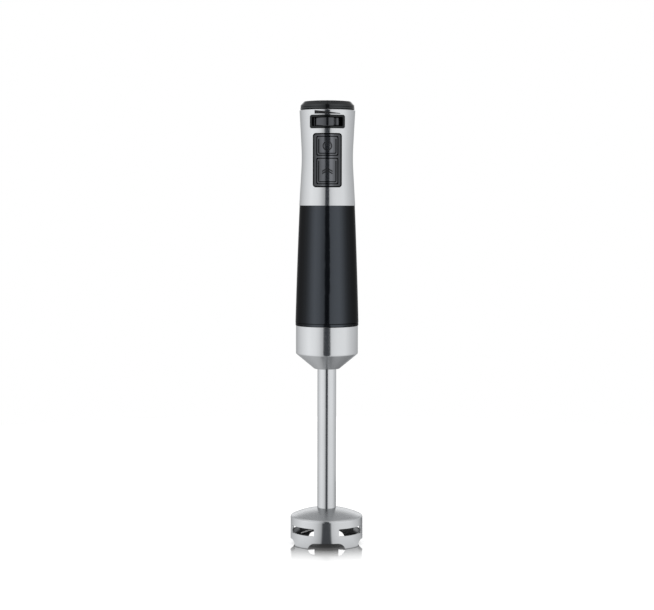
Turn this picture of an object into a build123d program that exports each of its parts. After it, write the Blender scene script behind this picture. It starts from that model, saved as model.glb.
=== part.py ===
from build123d import *
import os
from math import atan, cos, radians, sin, sqrt, tan

# Immersion blender standing on its guard. Millimetres and degrees.
# The axis of the blender is Z, the floor is Z = 0 and the buttons face -Y.

# Clearances
FIT_GAP = 0.05  # on radius, between pieces fixed one inside the other
RUN_GAP = 0.05  # on radius, between a shaft and its bearing
SLIDE_GAP = 0.3  # between pieces that slide or turn past each other
SPLIT_GAP = 0.1  # between the two chassis halves

# Blade guard
GUARD_DIA = 63.6
GUARD_WALL = 0.9
GUARD_RIM = 25.0  # floor to the edge of the dome
GUARD_DOME_RADIUS = 74.0
GUARD_SHOULDER = 2.4  # rounding between wall and dome
GUARD_FOOT_COUNT = 4
SCALLOP_HEIGHT = 5.3  # arch between two feet
SCALLOP_TOP = 19.4  # flat top of the arch
SCALLOP_SPAN = 32.6  # the arch at the floor
PORT_SILL = 11.4  # lower edge of the outflow ports
PORT_HEIGHT = 6.4
PORT_ANGLE = 50.0
PORT_CORNER = 0.8

# Foot tube and drive shaft
TUBE_DIA = 16.5
TUBE_WALL = 0.8
TUBE_REACH = 123.3  # dome to bell
TUBE_TAIL = 11.0  # end inside the guard
TUBE_HEAD = 16.0  # end inside the bell
SHAFT_DIA = 6.0
LOWER_BUSH_LENGTH = 14.0
UPPER_BUSH_LENGTH = 12.0
SEAL_LENGTH = 4.0
WASHER_THICKNESS = 0.6

# Blade
BLADE_SPAN = 44.0
BLADE_WIDTH = 8.5
BLADE_THICKNESS = 1.5
BLADE_BEVEL = 2.6  # ground width of the cutting edge
BLADE_BEND = 16.0  # one wing up, the other down
BLADE_HEIGHT = 12.5  # floor to the underside of the blade's plate
BLADE_PLATE_DIA = 13.0
BLADE_TIP = 0.55  # share of the width left at the tip
COLLAR_DIA = 11.0
NUT_FLATS = 10.0
NUT_HEIGHT = 4.4

# Bell of the foot
BELL_STEP = 0.5  # bell inside the lower face of the sleeve
BELL_WALL = 0.9
BELL_NECK_DIA = 22.0
BELL_NECK_ROUND = 1.0
BELL_CONE = 13.4  # neck to shoulder
BELL_SHOULDER_ROUND = 1.6
BELL_RIM_ROUND = 0.4
BELL_BARREL = 24.8  # shoulder to the joint
SOCKET_WALL = 2.4
SOCKET_RIB = 1.8
SOCKET_RECESS = 0.4  # socket below the bell's rim

# Joint of handle and foot
JOINT_GAP = 0.2
JOINT_RING = 2.0
JOINT_RING_STEP = 0.1  # ring below the face of the sleeve
SPIGOT_DIA = 39.0
SPIGOT_WALL = 2.4
SPIGOT_DEPTH = 16.5  # spigot inside the bell
SPIGOT_FLANGE = 3.0
SPIGOT_END_GAP = 0.6
LUG_COUNT = 3
LUG_ANGLE = 16.0
LUG_REACH = 2.0
LUG_HEIGHT = 3.2
LUG_RISE = 1.6  # lug above the spigot's end
LUG_SIDE_ANGLE = 1.5  # free angle on each side of a lug
FOOT_TWIST = 30.0
DOG_DIA = 14.0
DOG_HUB = 4.5
JAW_ANGLE = 50.0
JAW_ROOT_DIA = 7.4
JAW_LENGTH = 7.5
JAW_TIP_GAP = 0.6
JAW_START_ANGLE = 51.5  # from a motor jaw to the foot jaw it drives

# Grip sleeve
SLEEVE_DIA = 55.4  # at the joint with the foot
SLEEVE_HEIGHT = 102.5
SLEEVE_BULGE = 0.2
SLEEVE_STEP = 0.25  # upper end of the sleeve below the shell's face
SLEEVE_WALL = 2.2
SLEEVE_EDGE = 0.5

# Steel shell
SHELL_DIA = 48.9  # lower end, on the sleeve
SHELL_TOP_DIA = 48.6
SHELL_HEIGHT = 82.8
SHELL_WALL = 0.8
SHELL_EDGE = 0.5
WAIST_DIA = 44.15  # where the straight sides would meet
WAIST_RISE = 41.4
WAIST_ROUND = 180.0

# Top cap and cord gland
CAP_GAP = 0.8
CAP_DIA = 47.3
CAP_SKIRT = 3.6
CAP_DRAFT = 0.35
CAP_BEVEL_WIDTH = 2.8
CAP_BEVEL_HEIGHT = 3.1
CAP_CROWN = 1.1
CAP_ROUND = 0.4
CAP_WALL = 1.8
CAP_PLUG = 3.6  # collar inside the shell
CAP_LINE_RISE = 1.5
CAP_LINE_WIDTH = 0.35
CAP_LINE_DEPTH = 0.3
GLAND_DIA = 11.0
GLAND_BORE_DIA = 6.8
GLAND_LIP = 1.4
GLAND_SET_BACK = 10.0  # axis of the blender to axis of the gland
GLAND_SINK = 0.3

# Chassis
CHASSIS_WALL = 1.6
CHASSIS_LEDGE = 3.0
CHASSIS_RIB = 3.0
CHASSIS_HEAD_GAP = 0.4  # chassis to cap collar
SCREW_DIA = 2.8
SCREW_HEAD_DIA = 5.0
SCREW_HEAD = 1.8
SCREW_LENGTH = 16.0
SCREW_OFFSET = 16.0  # axis of the blender to a chassis screw
SCREW_LOW_DROP = 12.8  # lower screws below the shell
SCREW_HIGH_RISE = 71.2  # upper screws above the shell's lower edge
BOSS_WIDTH = 5.0
BOSS_HEIGHT = 6.0
BOSS_DEPTH = 9.0  # behind the screw head, and in front of the split

# Button frame and buttons
FRAME_WIDTH = 25.0
FRAME_HEIGHT = 46.6
FRAME_RISE = 15.7  # shell's lower edge to the frame
FRAME_CORNER = 2.6
FRAME_PROUD = 0.5
FRAME_DEPTH = 2.8
FRAME_LIP = 1.4
FRAME_STEP = 1.2  # sunk border round the frame's ridge
FRAME_SINK = 0.6
BUTTON_WIDTH = 17.4
BUTTON_CORNER = 1.2
BUTTON_PROUD = 0.9
BUTTON_LIP = 1.2
BUTTON_LIP_THICKNESS = 1.2
BUTTON_GAP = 0.8
POWER_HEIGHT = 15.4
POWER_DROP = 3.3  # frame's upper edge to the upper button
BOOST_HEIGHT = 21.1
BUTTON_BRIDGE = 3.4  # between the two buttons
BUTTON_LINE_INSET = 0.9
BUTTON_LINE_CORNER = 0.5
BUTTON_LINE_WIDTH = 0.85
BUTTON_LINE_DEPTH = 0.8
BUTTON_TRAVEL = 1.5
STEM_DIA = 3.2
PLUNGER_DIA = 2.0
SPRING_DIA = 4.8
SPRING_WIRE = 0.45
SPRING_TURNS = 3

# Speed wheel and its frame
WHEEL_DIA = 26.0
WHEEL_HEIGHT = 7.3
WHEEL_PROUD = 1.0  # rim in front of the shell
WHEEL_RISE = 72.2  # shell's lower edge to the middle of the wheel
WHEEL_CHAMFER = 0.4
WHEEL_GROOVE_COUNT = 4
WHEEL_GROOVE_DIA = 2.6
WHEEL_GROOVE_ANGLE = 30.5  # first groove, from the front towards +X
WINDOW_WIDTH = 26.6
WINDOW_CORNER = 0.8
DIAL_BORDER_SIDE = 1.8
DIAL_BORDER = 1.85
DIAL_CORNER = 1.8
DIAL_PROUD = 0.5
DIAL_DEPTH = 2.2
DIAL_LIP = 1.0
POT_SIZE = 10.0
POT_HEIGHT = 6.0
POT_SHAFT_DIA = 4.0
POT_SHAFT_DEPTH = 4.5
WHEEL_FLOOR_GAP = 1.0

# Control board
BOARD_WIDTH = 26.0
BOARD_RISE = 3.6  # shell's lower edge to the board
BOARD_HEIGHT = 64.0
BOARD_FRONT = 8.0  # axis of the blender to the board's front
BOARD_THICKNESS = 1.6
RAIL_GRIP = 0.8
RAIL_THICKNESS = 1.8
SWITCH_WIDTH = 6.0
SWITCH_DEPTH = 6.5
SWITCH_HEIGHT = 12.8
SWITCH_BORE_DEPTH = 4.5
CAPACITOR_WIDTH = 18.0
CAPACITOR_DEPTH = 8.0
CAPACITOR_HEIGHT = 13.0
CAPACITOR_RISE = 6.0
SINK_WIDTH = 20.0
SINK_DEPTH = 9.0
SINK_HEIGHT = 22.0
SINK_RISE = 30.0
SINK_PLATE = 1.6
SINK_FIN_COUNT = 5

# Motor
ROTOR_DIA = 6.0
BRACKET_PLATE = 4.0
BEARING_DIA = 13.0
BEARING_LENGTH = 8.0
BEARING_WALL = 2.0
FAN_RISE = 2.2  # bracket to fan
FAN_DIA = 29.0
FAN_HUB_DIA = 10.0
FAN_PLATE = 1.0
FAN_BLADE_COUNT = 9
FAN_BLADE_HEIGHT = 6.0
FAN_BLADE_THICKNESS = 1.0
STATOR_DIA = 40.6
STATOR_BORE_DIA = 25.2
STATOR_STACK = 22.0
STATOR_RISE = 20.2  # bracket to stator
YOKE = 3.8
POLE_SHOE = 2.0
POLE_SHOE_ANGLE = 112.0
POLE_NECK_ANGLE = 60.0
COIL_ANGLE = 24.0
COIL_SIDE_ANGLE = 1.0  # free angle beside a pole's neck
COIL_END = 6.5
COIL_GAP = 0.2
AIR_GAP = 0.5
ARMATURE_SLOT_COUNT = 12
ARMATURE_SLOT_ANGLE = 11.0
ARMATURE_SLOT_DIA = 14.4
WINDING_DIA = 22.8
WINDING_END = 6.4
WINDING_SIDE_ANGLE = 0.5
COMMUTATOR_DIA = 16.0
COMMUTATOR_LENGTH = 10.0
COMMUTATOR_RISE = 10.5  # stator to commutator
COMMUTATOR_CUT = 0.6
COMMUTATOR_CUT_DEPTH = 1.0
BRUSH_WIDTH = 5.9
BRUSH_HEIGHT = 7.3
BRUSH_LENGTH = 6.9
BRUSH_GAP = 0.1
HOLDER_WALL = 0.5
HOLDER_START = 1.2  # commutator to holder
HOLDER_LENGTH = 10.2
BRUSH_SPRING_DIA = 4.4
BRUSH_SPRING_WIRE = 0.4
BRUSH_SPRING_TURNS = 4
BRUSH_PLATE = 3.0
BRUSH_PLATE_RISE = 22.0  # stator to brush bracket plate
ARM_WALL = 1.8
ARM_LENGTH = 7.0
POST_ANGLE = 34.0
POST_DEPTH = 4.3
UPPER_BEARING_DIA = 11.0
UPPER_BEARING_LENGTH = 6.0
BOLT_DIA = 2.4
BOLT_HEAD_DIA = 4.2
BOLT_HEAD = 1.8
BOLT_CIRCLE_DIA = 36.4
BASE_SCREW_CIRCLE_DIA = 26.0
BASE_SCREW_COUNT = 3
LEAD_DIA = 2.2
LEAD_OFFSET = 10.0
LEAD_FOOT_DEPTH = 4.0  # axis of the blender to a lead's lower end
LEAD_BEND = 4.0

# Radii
guard_r = GUARD_DIA / 2
tube_r = TUBE_DIA / 2
tube_bore_r = tube_r - TUBE_WALL
shaft_r = SHAFT_DIA / 2
bell_r = SLEEVE_DIA / 2 - BELL_STEP
spigot_r = SPIGOT_DIA / 2
rotor_r = ROTOR_DIA / 2
stator_r = STATOR_DIA / 2
stator_bore_r = STATOR_BORE_DIA / 2
yoke_r = stator_r - YOKE
armature_r = stator_bore_r - AIR_GAP
boss_r = BEARING_DIA / 2 + BEARING_WALL
bolt_circle_r = BOLT_CIRCLE_DIA / 2
screw_hole_r = SCREW_DIA / 2 + FIT_GAP

# Heights of the foot, from the floor up
dome_centre = GUARD_RIM - sqrt(GUARD_DOME_RADIUS**2 - guard_r**2)
dome_top = dome_centre + sqrt(GUARD_DOME_RADIUS**2 - tube_r**2)
tube_low = dome_top - TUBE_TAIL
bell_base = dome_top + TUBE_REACH
tube_high = bell_base + TUBE_HEAD
bell_shoulder = bell_base + BELL_CONE
bell_top = bell_shoulder + BELL_BARREL
spigot_low = bell_top - SPIGOT_DEPTH
socket_floor = spigot_low - SPIGOT_END_GAP
lug_low = spigot_low + LUG_RISE
lug_high = lug_low + LUG_HEIGHT
shaft_dog_low = tube_high + WASHER_THICKNESS + SLIDE_GAP
shaft_jaw_low = shaft_dog_low + DOG_HUB
motor_jaw_high = shaft_jaw_low + JAW_LENGTH + JAW_TIP_GAP
collar_low = BLADE_HEIGHT + BLADE_THICKNESS
shaft_low = BLADE_HEIGHT - NUT_HEIGHT

# Heights of the handle
ring_low = bell_top + JOINT_GAP
ring_high = ring_low + JOINT_RING
sleeve_low = ring_high + JOINT_GAP
flange_high = sleeve_low + SPIGOT_FLANGE
shell_low = sleeve_low + SLEEVE_HEIGHT
shell_high = shell_low + SHELL_HEIGHT
cap_low = shell_high + CAP_GAP
cap_plug_low = cap_low - CAP_PLUG
chassis_high = cap_plug_low - CHASSIS_HEAD_GAP
skirt_high = cap_low + CAP_SKIRT
bevel_high = skirt_high + CAP_BEVEL_HEIGHT
frame_low = shell_low + FRAME_RISE
frame_high = frame_low + FRAME_HEIGHT
power_high = frame_high - POWER_DROP
power_middle = power_high - POWER_HEIGHT / 2
boost_high = power_high - POWER_HEIGHT - BUTTON_BRIDGE
boost_middle = boost_high - BOOST_HEIGHT / 2
wheel_middle = shell_low + WHEEL_RISE
wheel_low = wheel_middle - WHEEL_HEIGHT / 2
window_height = WHEEL_HEIGHT + 2 * SLIDE_GAP
pot_high = wheel_low - WHEEL_FLOOR_GAP
board_low = shell_low + BOARD_RISE
board_back = BOARD_FRONT - BOARD_THICKNESS
switch_front = BOARD_FRONT + SWITCH_DEPTH
stem_end = switch_front + BUTTON_TRAVEL + SLIDE_GAP

# Heights of the motor
bracket_high = flange_high + BRACKET_PLATE
fan_low = bracket_high + FAN_RISE
stator_low = bracket_high + STATOR_RISE
stator_high = stator_low + STATOR_STACK
commutator_low = stator_high + COMMUTATOR_RISE
brush_middle = commutator_low + COMMUTATOR_LENGTH / 2
brush_plate_low = stator_high + BRUSH_PLATE_RISE
brush_plate_high = brush_plate_low + BRUSH_PLATE
upper_bearing_high = brush_plate_low + UPPER_BEARING_LENGTH
holder_end = COMMUTATOR_DIA / 2 + HOLDER_START + HOLDER_LENGTH

# The waist of the shell: straight sides that lean in and out, joined by a large round
lean_in = atan((SHELL_DIA - WAIST_DIA) / 2 / WAIST_RISE)
lean_out = atan((SHELL_TOP_DIA - WAIST_DIA) / 2 / (SHELL_HEIGHT - WAIST_RISE))
waist_reach = WAIST_ROUND * tan((lean_in + lean_out) / 2)
waist_z = shell_low + WAIST_RISE
waist_round_low = waist_z - waist_reach * cos(lean_in)
waist_round_high = waist_z + waist_reach * cos(lean_out)
waist_round_r = WAIST_DIA / 2 + waist_reach * sin(lean_in) + WAIST_ROUND * cos(lean_in)
waist_round_z = waist_round_low + WAIST_ROUND * sin(lean_in)
chassis_r = waist_round_r - WAIST_ROUND - SHELL_WALL - SLIDE_GAP
chassis_bore_r = chassis_r - CHASSIS_WALL


def shell_radius(z):
    """Outer radius of the steel shell at a height."""
    if z < waist_round_low:
        return WAIST_DIA / 2 + (waist_z - z) * tan(lean_in)
    if z > waist_round_high:
        return WAIST_DIA / 2 + (z - waist_z) * tan(lean_out)
    return waist_round_r - sqrt(WAIST_ROUND**2 - (z - waist_round_z) ** 2)


def sleeve_radius(z):
    """Outer radius of the grip sleeve at a height."""
    share = (z - sleeve_low) / SLEEVE_HEIGHT
    end = SHELL_DIA / 2 - SLEEVE_STEP
    straight = SLEEVE_DIA / 2 * (1 - share) + end * share
    return straight + 4 * SLEEVE_BULGE * share * (1 - share)


# Shapes that several pieces are made of


def rounded(face, corner, radius):
    """Flat outline with the corner nearest to a point rounded."""
    return fillet(face.vertices().sort_by_distance(Vector(*corner))[0], radius)


def turned(outline, rounds=()):
    """Solid turned about the axis from (radius, height) points, some corners rounded."""
    face = make_face(Polyline(*outline, close=True).edges())
    for corner, radius in rounds:
        face = rounded(face, corner, radius)
    return revolve(Plane.XZ * face, Axis.Z)


def disc(radius, low, high):
    return turned([(0, low), (radius, low), (radius, high), (0, high)])


def ring(outer, inner, low, high):
    return turned([(inner, low), (outer, low), (outer, high), (inner, high)])


def sector(outer, inner, low, high, middle, width):
    """Part of a ring, its middle at an angle from +X."""
    outline = Polyline((inner, low), (outer, low), (outer, high), (inner, high), close=True)
    part = revolve(Plane.XZ * make_face(outline.edges()), Axis.Z, revolution_arc=width)
    return Rot(0, 0, middle - width / 2) * part


def block(x, y, z):
    """Box between pairs of limits."""
    middle = ((x[0] + x[1]) / 2, (y[0] + y[1]) / 2, (z[0] + z[1]) / 2)
    return Pos(*middle) * Box(x[1] - x[0], y[1] - y[0], z[1] - z[0])


def pin(radius, x, y, low, high):
    """Upright pin."""
    return Pos(x, y) * disc(radius, low, high)


def rod(radius, x, z, front, back):
    """Rod that lies along Y."""
    return Pos(x, back, z) * Rot(90, 0, 0) * disc(radius, 0, back - front)


def around(count, piece, first=0.0):
    """Copies of a piece at equal angles about the axis."""
    return [Rot(0, 0, first + 360 * i / count) * piece for i in range(count)]


def both(piece):
    """A piece and its like on the other side of the axis."""
    return around(2, piece)


def coil(radius, wire, turns, length):
    """Spring that stands on Z = 0, its wire inside the length."""
    rise = length - wire
    path = Helix(rise / turns, rise, radius, center=(0, 0, wire / 2))
    return sweep(Plane(origin=path @ 0, z_dir=path % 0) * Circle(wire / 2), path=path)


def facing(width, height, middle, corner, back=0.0):
    """Rounded bar that runs forward from Y = -back."""
    outline = Plane.XZ * (Pos(0, middle) * RectangleRounded(width, height, corner))
    return Pos(0, -back) * extrude(outline, SLEEVE_DIA)


def shell_side(inset):
    """Side of the steel shell, moved inwards."""
    return FilletPolyline(
        (SHELL_DIA / 2 - inset, shell_low),
        (WAIST_DIA / 2 - inset, waist_z),
        (SHELL_TOP_DIA / 2 - inset, shell_high),
        radius=WAIST_ROUND,
    )


def shell_skin(outset, inset, edge=0.0):
    """Layer that follows the steel shell, outset to inset, its upper outer edge rounded."""
    outer = shell_side(-outset)
    inner = shell_side(inset)
    edges = outer.edges() + inner.edges()
    edges += [Line(outer @ 0, inner @ 0), Line(outer @ 1, inner @ 1)]
    face = make_face(edges)
    if edge:
        face = rounded(face, outer @ 1, edge)
    return revolve(Plane.XZ * face, Axis.Z)


def sleeve_side(inset):
    """Side of the grip sleeve, moved inwards."""
    middle = sleeve_low + SLEEVE_HEIGHT / 2
    return ThreePointArc(*((sleeve_radius(z) - inset, z) for z in (sleeve_low, middle, shell_low)))


def sleeve_skin(near, far, edge=0.0):
    """Layer that follows the grip sleeve, its lower outer edge rounded."""
    outer = sleeve_side(near)
    inner = sleeve_side(far)
    face = make_face([outer, inner, Line(outer @ 0, inner @ 0), Line(outer @ 1, inner @ 1)])
    if edge:
        face = rounded(face, outer @ 0, edge)
    return revolve(Plane.XZ * face, Axis.Z)


# Blending foot


def guard_core(inset, low):
    """All that lies inside the guard's face, moved inwards."""
    wall = guard_r - inset
    dome = GUARD_DOME_RADIUS - inset
    edge = dome_centre + sqrt(dome**2 - wall**2)
    crest = dome_centre + sqrt(dome**2 - (wall / 2) ** 2)
    outline = [
        Line((0, low), (wall, low)),
        Line((wall, low), (wall, edge)),
        ThreePointArc((wall, edge), (wall / 2, crest), (0, dome_centre + dome)),
        Line((0, dome_centre + dome), (0, low)),
    ]
    face = rounded(make_face(outline), (wall, edge), GUARD_SHOULDER - inset / 2)
    return revolve(Plane.XZ * face, Axis.Z)


def scallop():
    """Arch between two feet, at the front."""
    half = SCALLOP_TOP / 2
    foot = SCALLOP_SPAN / 2
    outline = [
        Line((-half, SCALLOP_HEIGHT), (half, SCALLOP_HEIGHT)),
        TangentArc((half, SCALLOP_HEIGHT), (foot, 0), tangent=(1, 0)),
        Line((foot, 0), (foot, -GUARD_WALL)),
        Line((foot, -GUARD_WALL), (-foot, -GUARD_WALL)),
        Line((-foot, -GUARD_WALL), (-foot, 0)),
        TangentArc((-half, SCALLOP_HEIGHT), (-foot, 0), tangent=(-1, 0)),
    ]
    return extrude(Plane.XZ * make_face(outline), GUARD_DIA)


def port():
    """Outflow port above a foot."""
    low = PORT_SILL
    high = PORT_SILL + PORT_HEIGHT
    cut = sector(guard_r + GUARD_WALL, guard_r - 2 * GUARD_WALL, low, high, 0, PORT_ANGLE)
    corners = cut.edges().filter_by(GeomType.LINE).filter_by(Axis.Z, reverse=True)
    return fillet(corners, PORT_CORNER)


def blade_guard():
    guard = guard_core(0, 0) - guard_core(GUARD_WALL, -GUARD_WALL)
    guard -= disc(tube_r + FIT_GAP, GUARD_RIM, dome_top + GUARD_RIM)
    guard -= around(GUARD_FOOT_COUNT, scallop())
    return guard - around(GUARD_FOOT_COUNT, port(), 180 / GUARD_FOOT_COUNT)


def shaft_tube():
    return ring(tube_r, tube_bore_r, tube_low, tube_high)


def shaft_seal():
    return ring(tube_bore_r - FIT_GAP, shaft_r + RUN_GAP, tube_low, tube_low + SEAL_LENGTH)


def lower_bush():
    low = tube_low + SEAL_LENGTH
    return ring(tube_bore_r - FIT_GAP, shaft_r + RUN_GAP, low, low + LOWER_BUSH_LENGTH)


def upper_bush():
    return ring(tube_bore_r - FIT_GAP, shaft_r + RUN_GAP, tube_high - UPPER_BUSH_LENGTH, tube_high)


def thrust_washer():
    return ring(tube_r, shaft_r + RUN_GAP, tube_high, tube_high + WASHER_THICKNESS)


def bell_core(inset, high, *rounds):
    """All that lies inside the bell's face, moved inwards, rounded at neck, shoulder and rim."""
    width = bell_r - BELL_NECK_DIA / 2
    slant = sqrt(width**2 + BELL_CONE**2)
    low = bell_base + inset
    neck = (BELL_NECK_DIA / 2 - inset * (slant - width) / BELL_CONE, low)
    shoulder = (bell_r - inset, bell_shoulder + inset * (slant - BELL_CONE) / width)
    rim = (bell_r - inset, high)
    return turned([(0, low), neck, shoulder, rim, (0, high)], zip((neck, shoulder, rim), rounds))


def coupling_bell():
    bell = bell_core(0, bell_top, BELL_NECK_ROUND, BELL_SHOULDER_ROUND, BELL_RIM_ROUND)
    bell -= bell_core(BELL_WALL, bell_top)
    return bell - disc(tube_r + FIT_GAP, bell_base, bell_shoulder)


def bayonet_track(angle):
    """Way of one lug: straight in from the top, then round by the twist."""
    outer = spigot_r + LUG_REACH + SLIDE_GAP
    width = LUG_ANGLE + 2 * LUG_SIDE_ANGLE
    low = lug_low - SLIDE_GAP
    entry = sector(outer, spigot_r, low, bell_top, angle, width)
    turn = sector(outer, spigot_r, low, lug_high + SLIDE_GAP, angle - FOOT_TWIST / 2, width + FOOT_TWIST)
    return entry + turn


def coupling_socket():
    body = bell_core(BELL_WALL + FIT_GAP, bell_top - SOCKET_RECESS)
    hub_r = tube_r + FIT_GAP + SOCKET_WALL
    underside = socket_floor - SOCKET_WALL
    plate = block((-bell_r, bell_r), (-SOCKET_RIB / 2, SOCKET_RIB / 2), (bell_base, underside))
    ribs = [body & plate, body & Rot(0, 0, 90) * plate]
    socket = body - ring(bell_r, hub_r, bell_base, underside) + ribs
    socket -= disc(tube_r + FIT_GAP, bell_base, socket_floor)
    socket -= disc(spigot_r + SLIDE_GAP, socket_floor, bell_top)
    return socket - [bayonet_track(360 * i / LUG_COUNT) for i in range(LUG_COUNT)]


def drive_shaft():
    return disc(shaft_r, shaft_low, shaft_jaw_low)


def jaws(low, high, angle):
    """The two jaws of a dog clutch."""
    return both(sector(DOG_DIA / 2, JAW_ROOT_DIA / 2, low, high, angle, JAW_ANGLE))


def shaft_dog():
    hub = ring(DOG_DIA / 2, shaft_r + FIT_GAP, shaft_dog_low, shaft_jaw_low)
    return hub + jaws(shaft_jaw_low, shaft_jaw_low + JAW_LENGTH, JAW_START_ANGLE)


def blade_collar():
    return ring(COLLAR_DIA / 2, shaft_r + FIT_GAP, collar_low, tube_low - SLIDE_GAP)


def blade_wing(bend):
    """One wing with a ground edge, bent up or down at the plate."""
    half = BLADE_WIDTH / 2
    section = Polyline(
        (-half, 0),
        (half, 0),
        (half, BLADE_THICKNESS),
        (BLADE_BEVEL - half, BLADE_THICKNESS),
        close=True,
    )
    root = (BLADE_PLATE_DIA - BLADE_THICKNESS) / 2
    length = (BLADE_SPAN / 2 - root) / cos(radians(BLADE_BEND))
    wing = extrude(Plane.YZ * make_face(section.edges()), length)
    tip = half - BLADE_WIDTH * BLADE_TIP
    outline = Polyline((0, -half), (length, tip), (length, half), (0, half), close=True)
    wing &= extrude(make_face(outline.edges()), BLADE_THICKNESS)
    return Pos(root, 0, BLADE_HEIGHT) * Rot(0, -bend, 0) * wing


def blade():
    plate = disc(BLADE_PLATE_DIA / 2, BLADE_HEIGHT, BLADE_HEIGHT + BLADE_THICKNESS)
    wings = [blade_wing(BLADE_BEND), Rot(0, 0, 180) * blade_wing(-BLADE_BEND)]
    return plate + wings - disc(shaft_r + FIT_GAP, shaft_low, collar_low + BLADE_THICKNESS)


def blade_nut():
    outline = Rot(0, 0, 30) * RegularPolygon(NUT_FLATS / 2, 6, major_radius=False)
    nut = Pos(0, 0, shaft_low) * extrude(outline, NUT_HEIGHT)
    return nut - disc(shaft_r + FIT_GAP, shaft_low, BLADE_HEIGHT)


# Joint of handle and foot


def joint_ring():
    outer = SLEEVE_DIA / 2 - JOINT_RING_STEP
    return ring(outer, spigot_r + RUN_GAP, ring_low, ring_high)


def base_holes(low, high):
    hole = pin(screw_hole_r, BASE_SCREW_CIRCLE_DIA / 2, 0, low, high)
    return around(BASE_SCREW_COUNT, hole, 90)


def coupling_spigot():
    spigot = disc(sleeve_radius(flange_high) - SLEEVE_WALL - FIT_GAP, sleeve_low, flange_high)
    spigot += ring(spigot_r, spigot_r - SPIGOT_WALL, spigot_low, sleeve_low)
    lug = sector(spigot_r + LUG_REACH, spigot_r - SPIGOT_WALL / 2, lug_low, lug_high, 0, LUG_ANGLE)
    spigot += around(LUG_COUNT, lug)
    spigot -= disc(boss_r + FIT_GAP, sleeve_low, flange_high)
    return spigot - base_holes(sleeve_low, flange_high)


def base_screws():
    screw = pin(SCREW_DIA / 2, BASE_SCREW_CIRCLE_DIA / 2, 0, sleeve_low, bracket_high)
    head = pin(SCREW_HEAD_DIA / 2, BASE_SCREW_CIRCLE_DIA / 2, 0, sleeve_low - SCREW_HEAD, sleeve_low)
    return Part() + around(BASE_SCREW_COUNT, screw + head, 90)


# Motor


def bolt_holes(low, high):
    return both(pin(BOLT_DIA / 2 + FIT_GAP, 0, bolt_circle_r, low, high))


def bearing_low():
    """Lower end of the drive end bearing, below the bracket's plate."""
    return bracket_high - BEARING_LENGTH


def drive_end_bracket():
    bracket = disc(stator_r, flange_high, bracket_high)
    bracket += disc(boss_r, bearing_low(), bracket_high)
    bracket += both(sector(stator_r, stator_r - POST_DEPTH, bracket_high, stator_low, 90, POST_ANGLE))
    bracket -= disc(BEARING_DIA / 2, bearing_low(), bracket_high)
    bracket -= base_holes(flange_high, bracket_high)
    return bracket - bolt_holes(flange_high, stator_low)


def lower_bearing():
    return ring(BEARING_DIA / 2 - FIT_GAP, rotor_r + RUN_GAP, bearing_low(), bracket_high)


def stator_core():
    core = ring(stator_r, yoke_r, stator_low, stator_high)
    shoe_r = stator_bore_r + POLE_SHOE
    shoe = sector(shoe_r, stator_bore_r, stator_low, stator_high, 0, POLE_SHOE_ANGLE)
    neck = sector(yoke_r + YOKE / 2, shoe_r - POLE_SHOE / 2, stator_low, stator_high, 0, POLE_NECK_ANGLE)
    core += both(shoe + neck)
    return core - bolt_holes(stator_low, stator_high)


def field_coils():
    outer = yoke_r - COIL_GAP
    inner = stator_bore_r + POLE_SHOE + COIL_GAP
    low = stator_low - COIL_END
    high = stator_high + COIL_END
    angle = POLE_NECK_ANGLE / 2 + COIL_SIDE_ANGLE + COIL_ANGLE / 2
    sides = [sector(outer, inner, low, high, turn, COIL_ANGLE) for turn in (angle, -angle)]
    span = 2 * angle + COIL_ANGLE
    ends = [
        sector(outer, inner, low, stator_low - COIL_GAP, 0, span),
        sector(outer, inner, stator_high + COIL_GAP, high, 0, span),
    ]
    return Part() + both(sides[0] + sides[1] + ends)


def brush_bracket():
    post = sector(stator_r, stator_r - POST_DEPTH, stator_high, brush_plate_low, 90, POST_ANGLE)
    bracket = disc(stator_r, brush_plate_low, brush_plate_high) + both(post)
    bracket += disc(UPPER_BEARING_DIA / 2 + BEARING_WALL, brush_plate_low, upper_bearing_high)
    bracket -= disc(UPPER_BEARING_DIA / 2, brush_plate_low, upper_bearing_high)
    half_y = BRUSH_WIDTH / 2 + FIT_GAP + HOLDER_WALL + FIT_GAP
    half_z = BRUSH_HEIGHT / 2 + FIT_GAP + HOLDER_WALL + FIT_GAP
    out = (holder_end - HOLDER_WALL - ARM_LENGTH, holder_end - HOLDER_WALL)
    arm_low = brush_middle - half_z - ARM_WALL
    arm = block(out, (-half_y - ARM_WALL, half_y + ARM_WALL), (arm_low, brush_plate_low))
    arm -= block((0, stator_r), (-half_y, half_y), (brush_middle - half_z, brush_middle + half_z))
    return bracket + both(arm) - bolt_holes(stator_high, brush_plate_high)


def brush_holders():
    half_y = BRUSH_WIDTH / 2 + FIT_GAP
    half_z = BRUSH_HEIGHT / 2 + FIT_GAP
    start = COMMUTATOR_DIA / 2 + HOLDER_START
    outer_y = half_y + HOLDER_WALL
    outer_z = (brush_middle - half_z - HOLDER_WALL, brush_middle + half_z + HOLDER_WALL)
    holder = block((start, holder_end), (-outer_y, outer_y), outer_z)
    inner_z = (brush_middle - half_z, brush_middle + half_z)
    holder -= block((0, holder_end - HOLDER_WALL), (-half_y, half_y), inner_z)
    return Part() + both(holder)


def brush_end():
    """Outer end of a brush, where its spring pushes."""
    return COMMUTATOR_DIA / 2 + BRUSH_GAP + BRUSH_LENGTH


def carbon_brushes():
    start = COMMUTATOR_DIA / 2 + BRUSH_GAP
    wide = (-BRUSH_WIDTH / 2, BRUSH_WIDTH / 2)
    high = (brush_middle - BRUSH_HEIGHT / 2, brush_middle + BRUSH_HEIGHT / 2)
    return Part() + both(block((start, brush_end()), wide, high))


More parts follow.
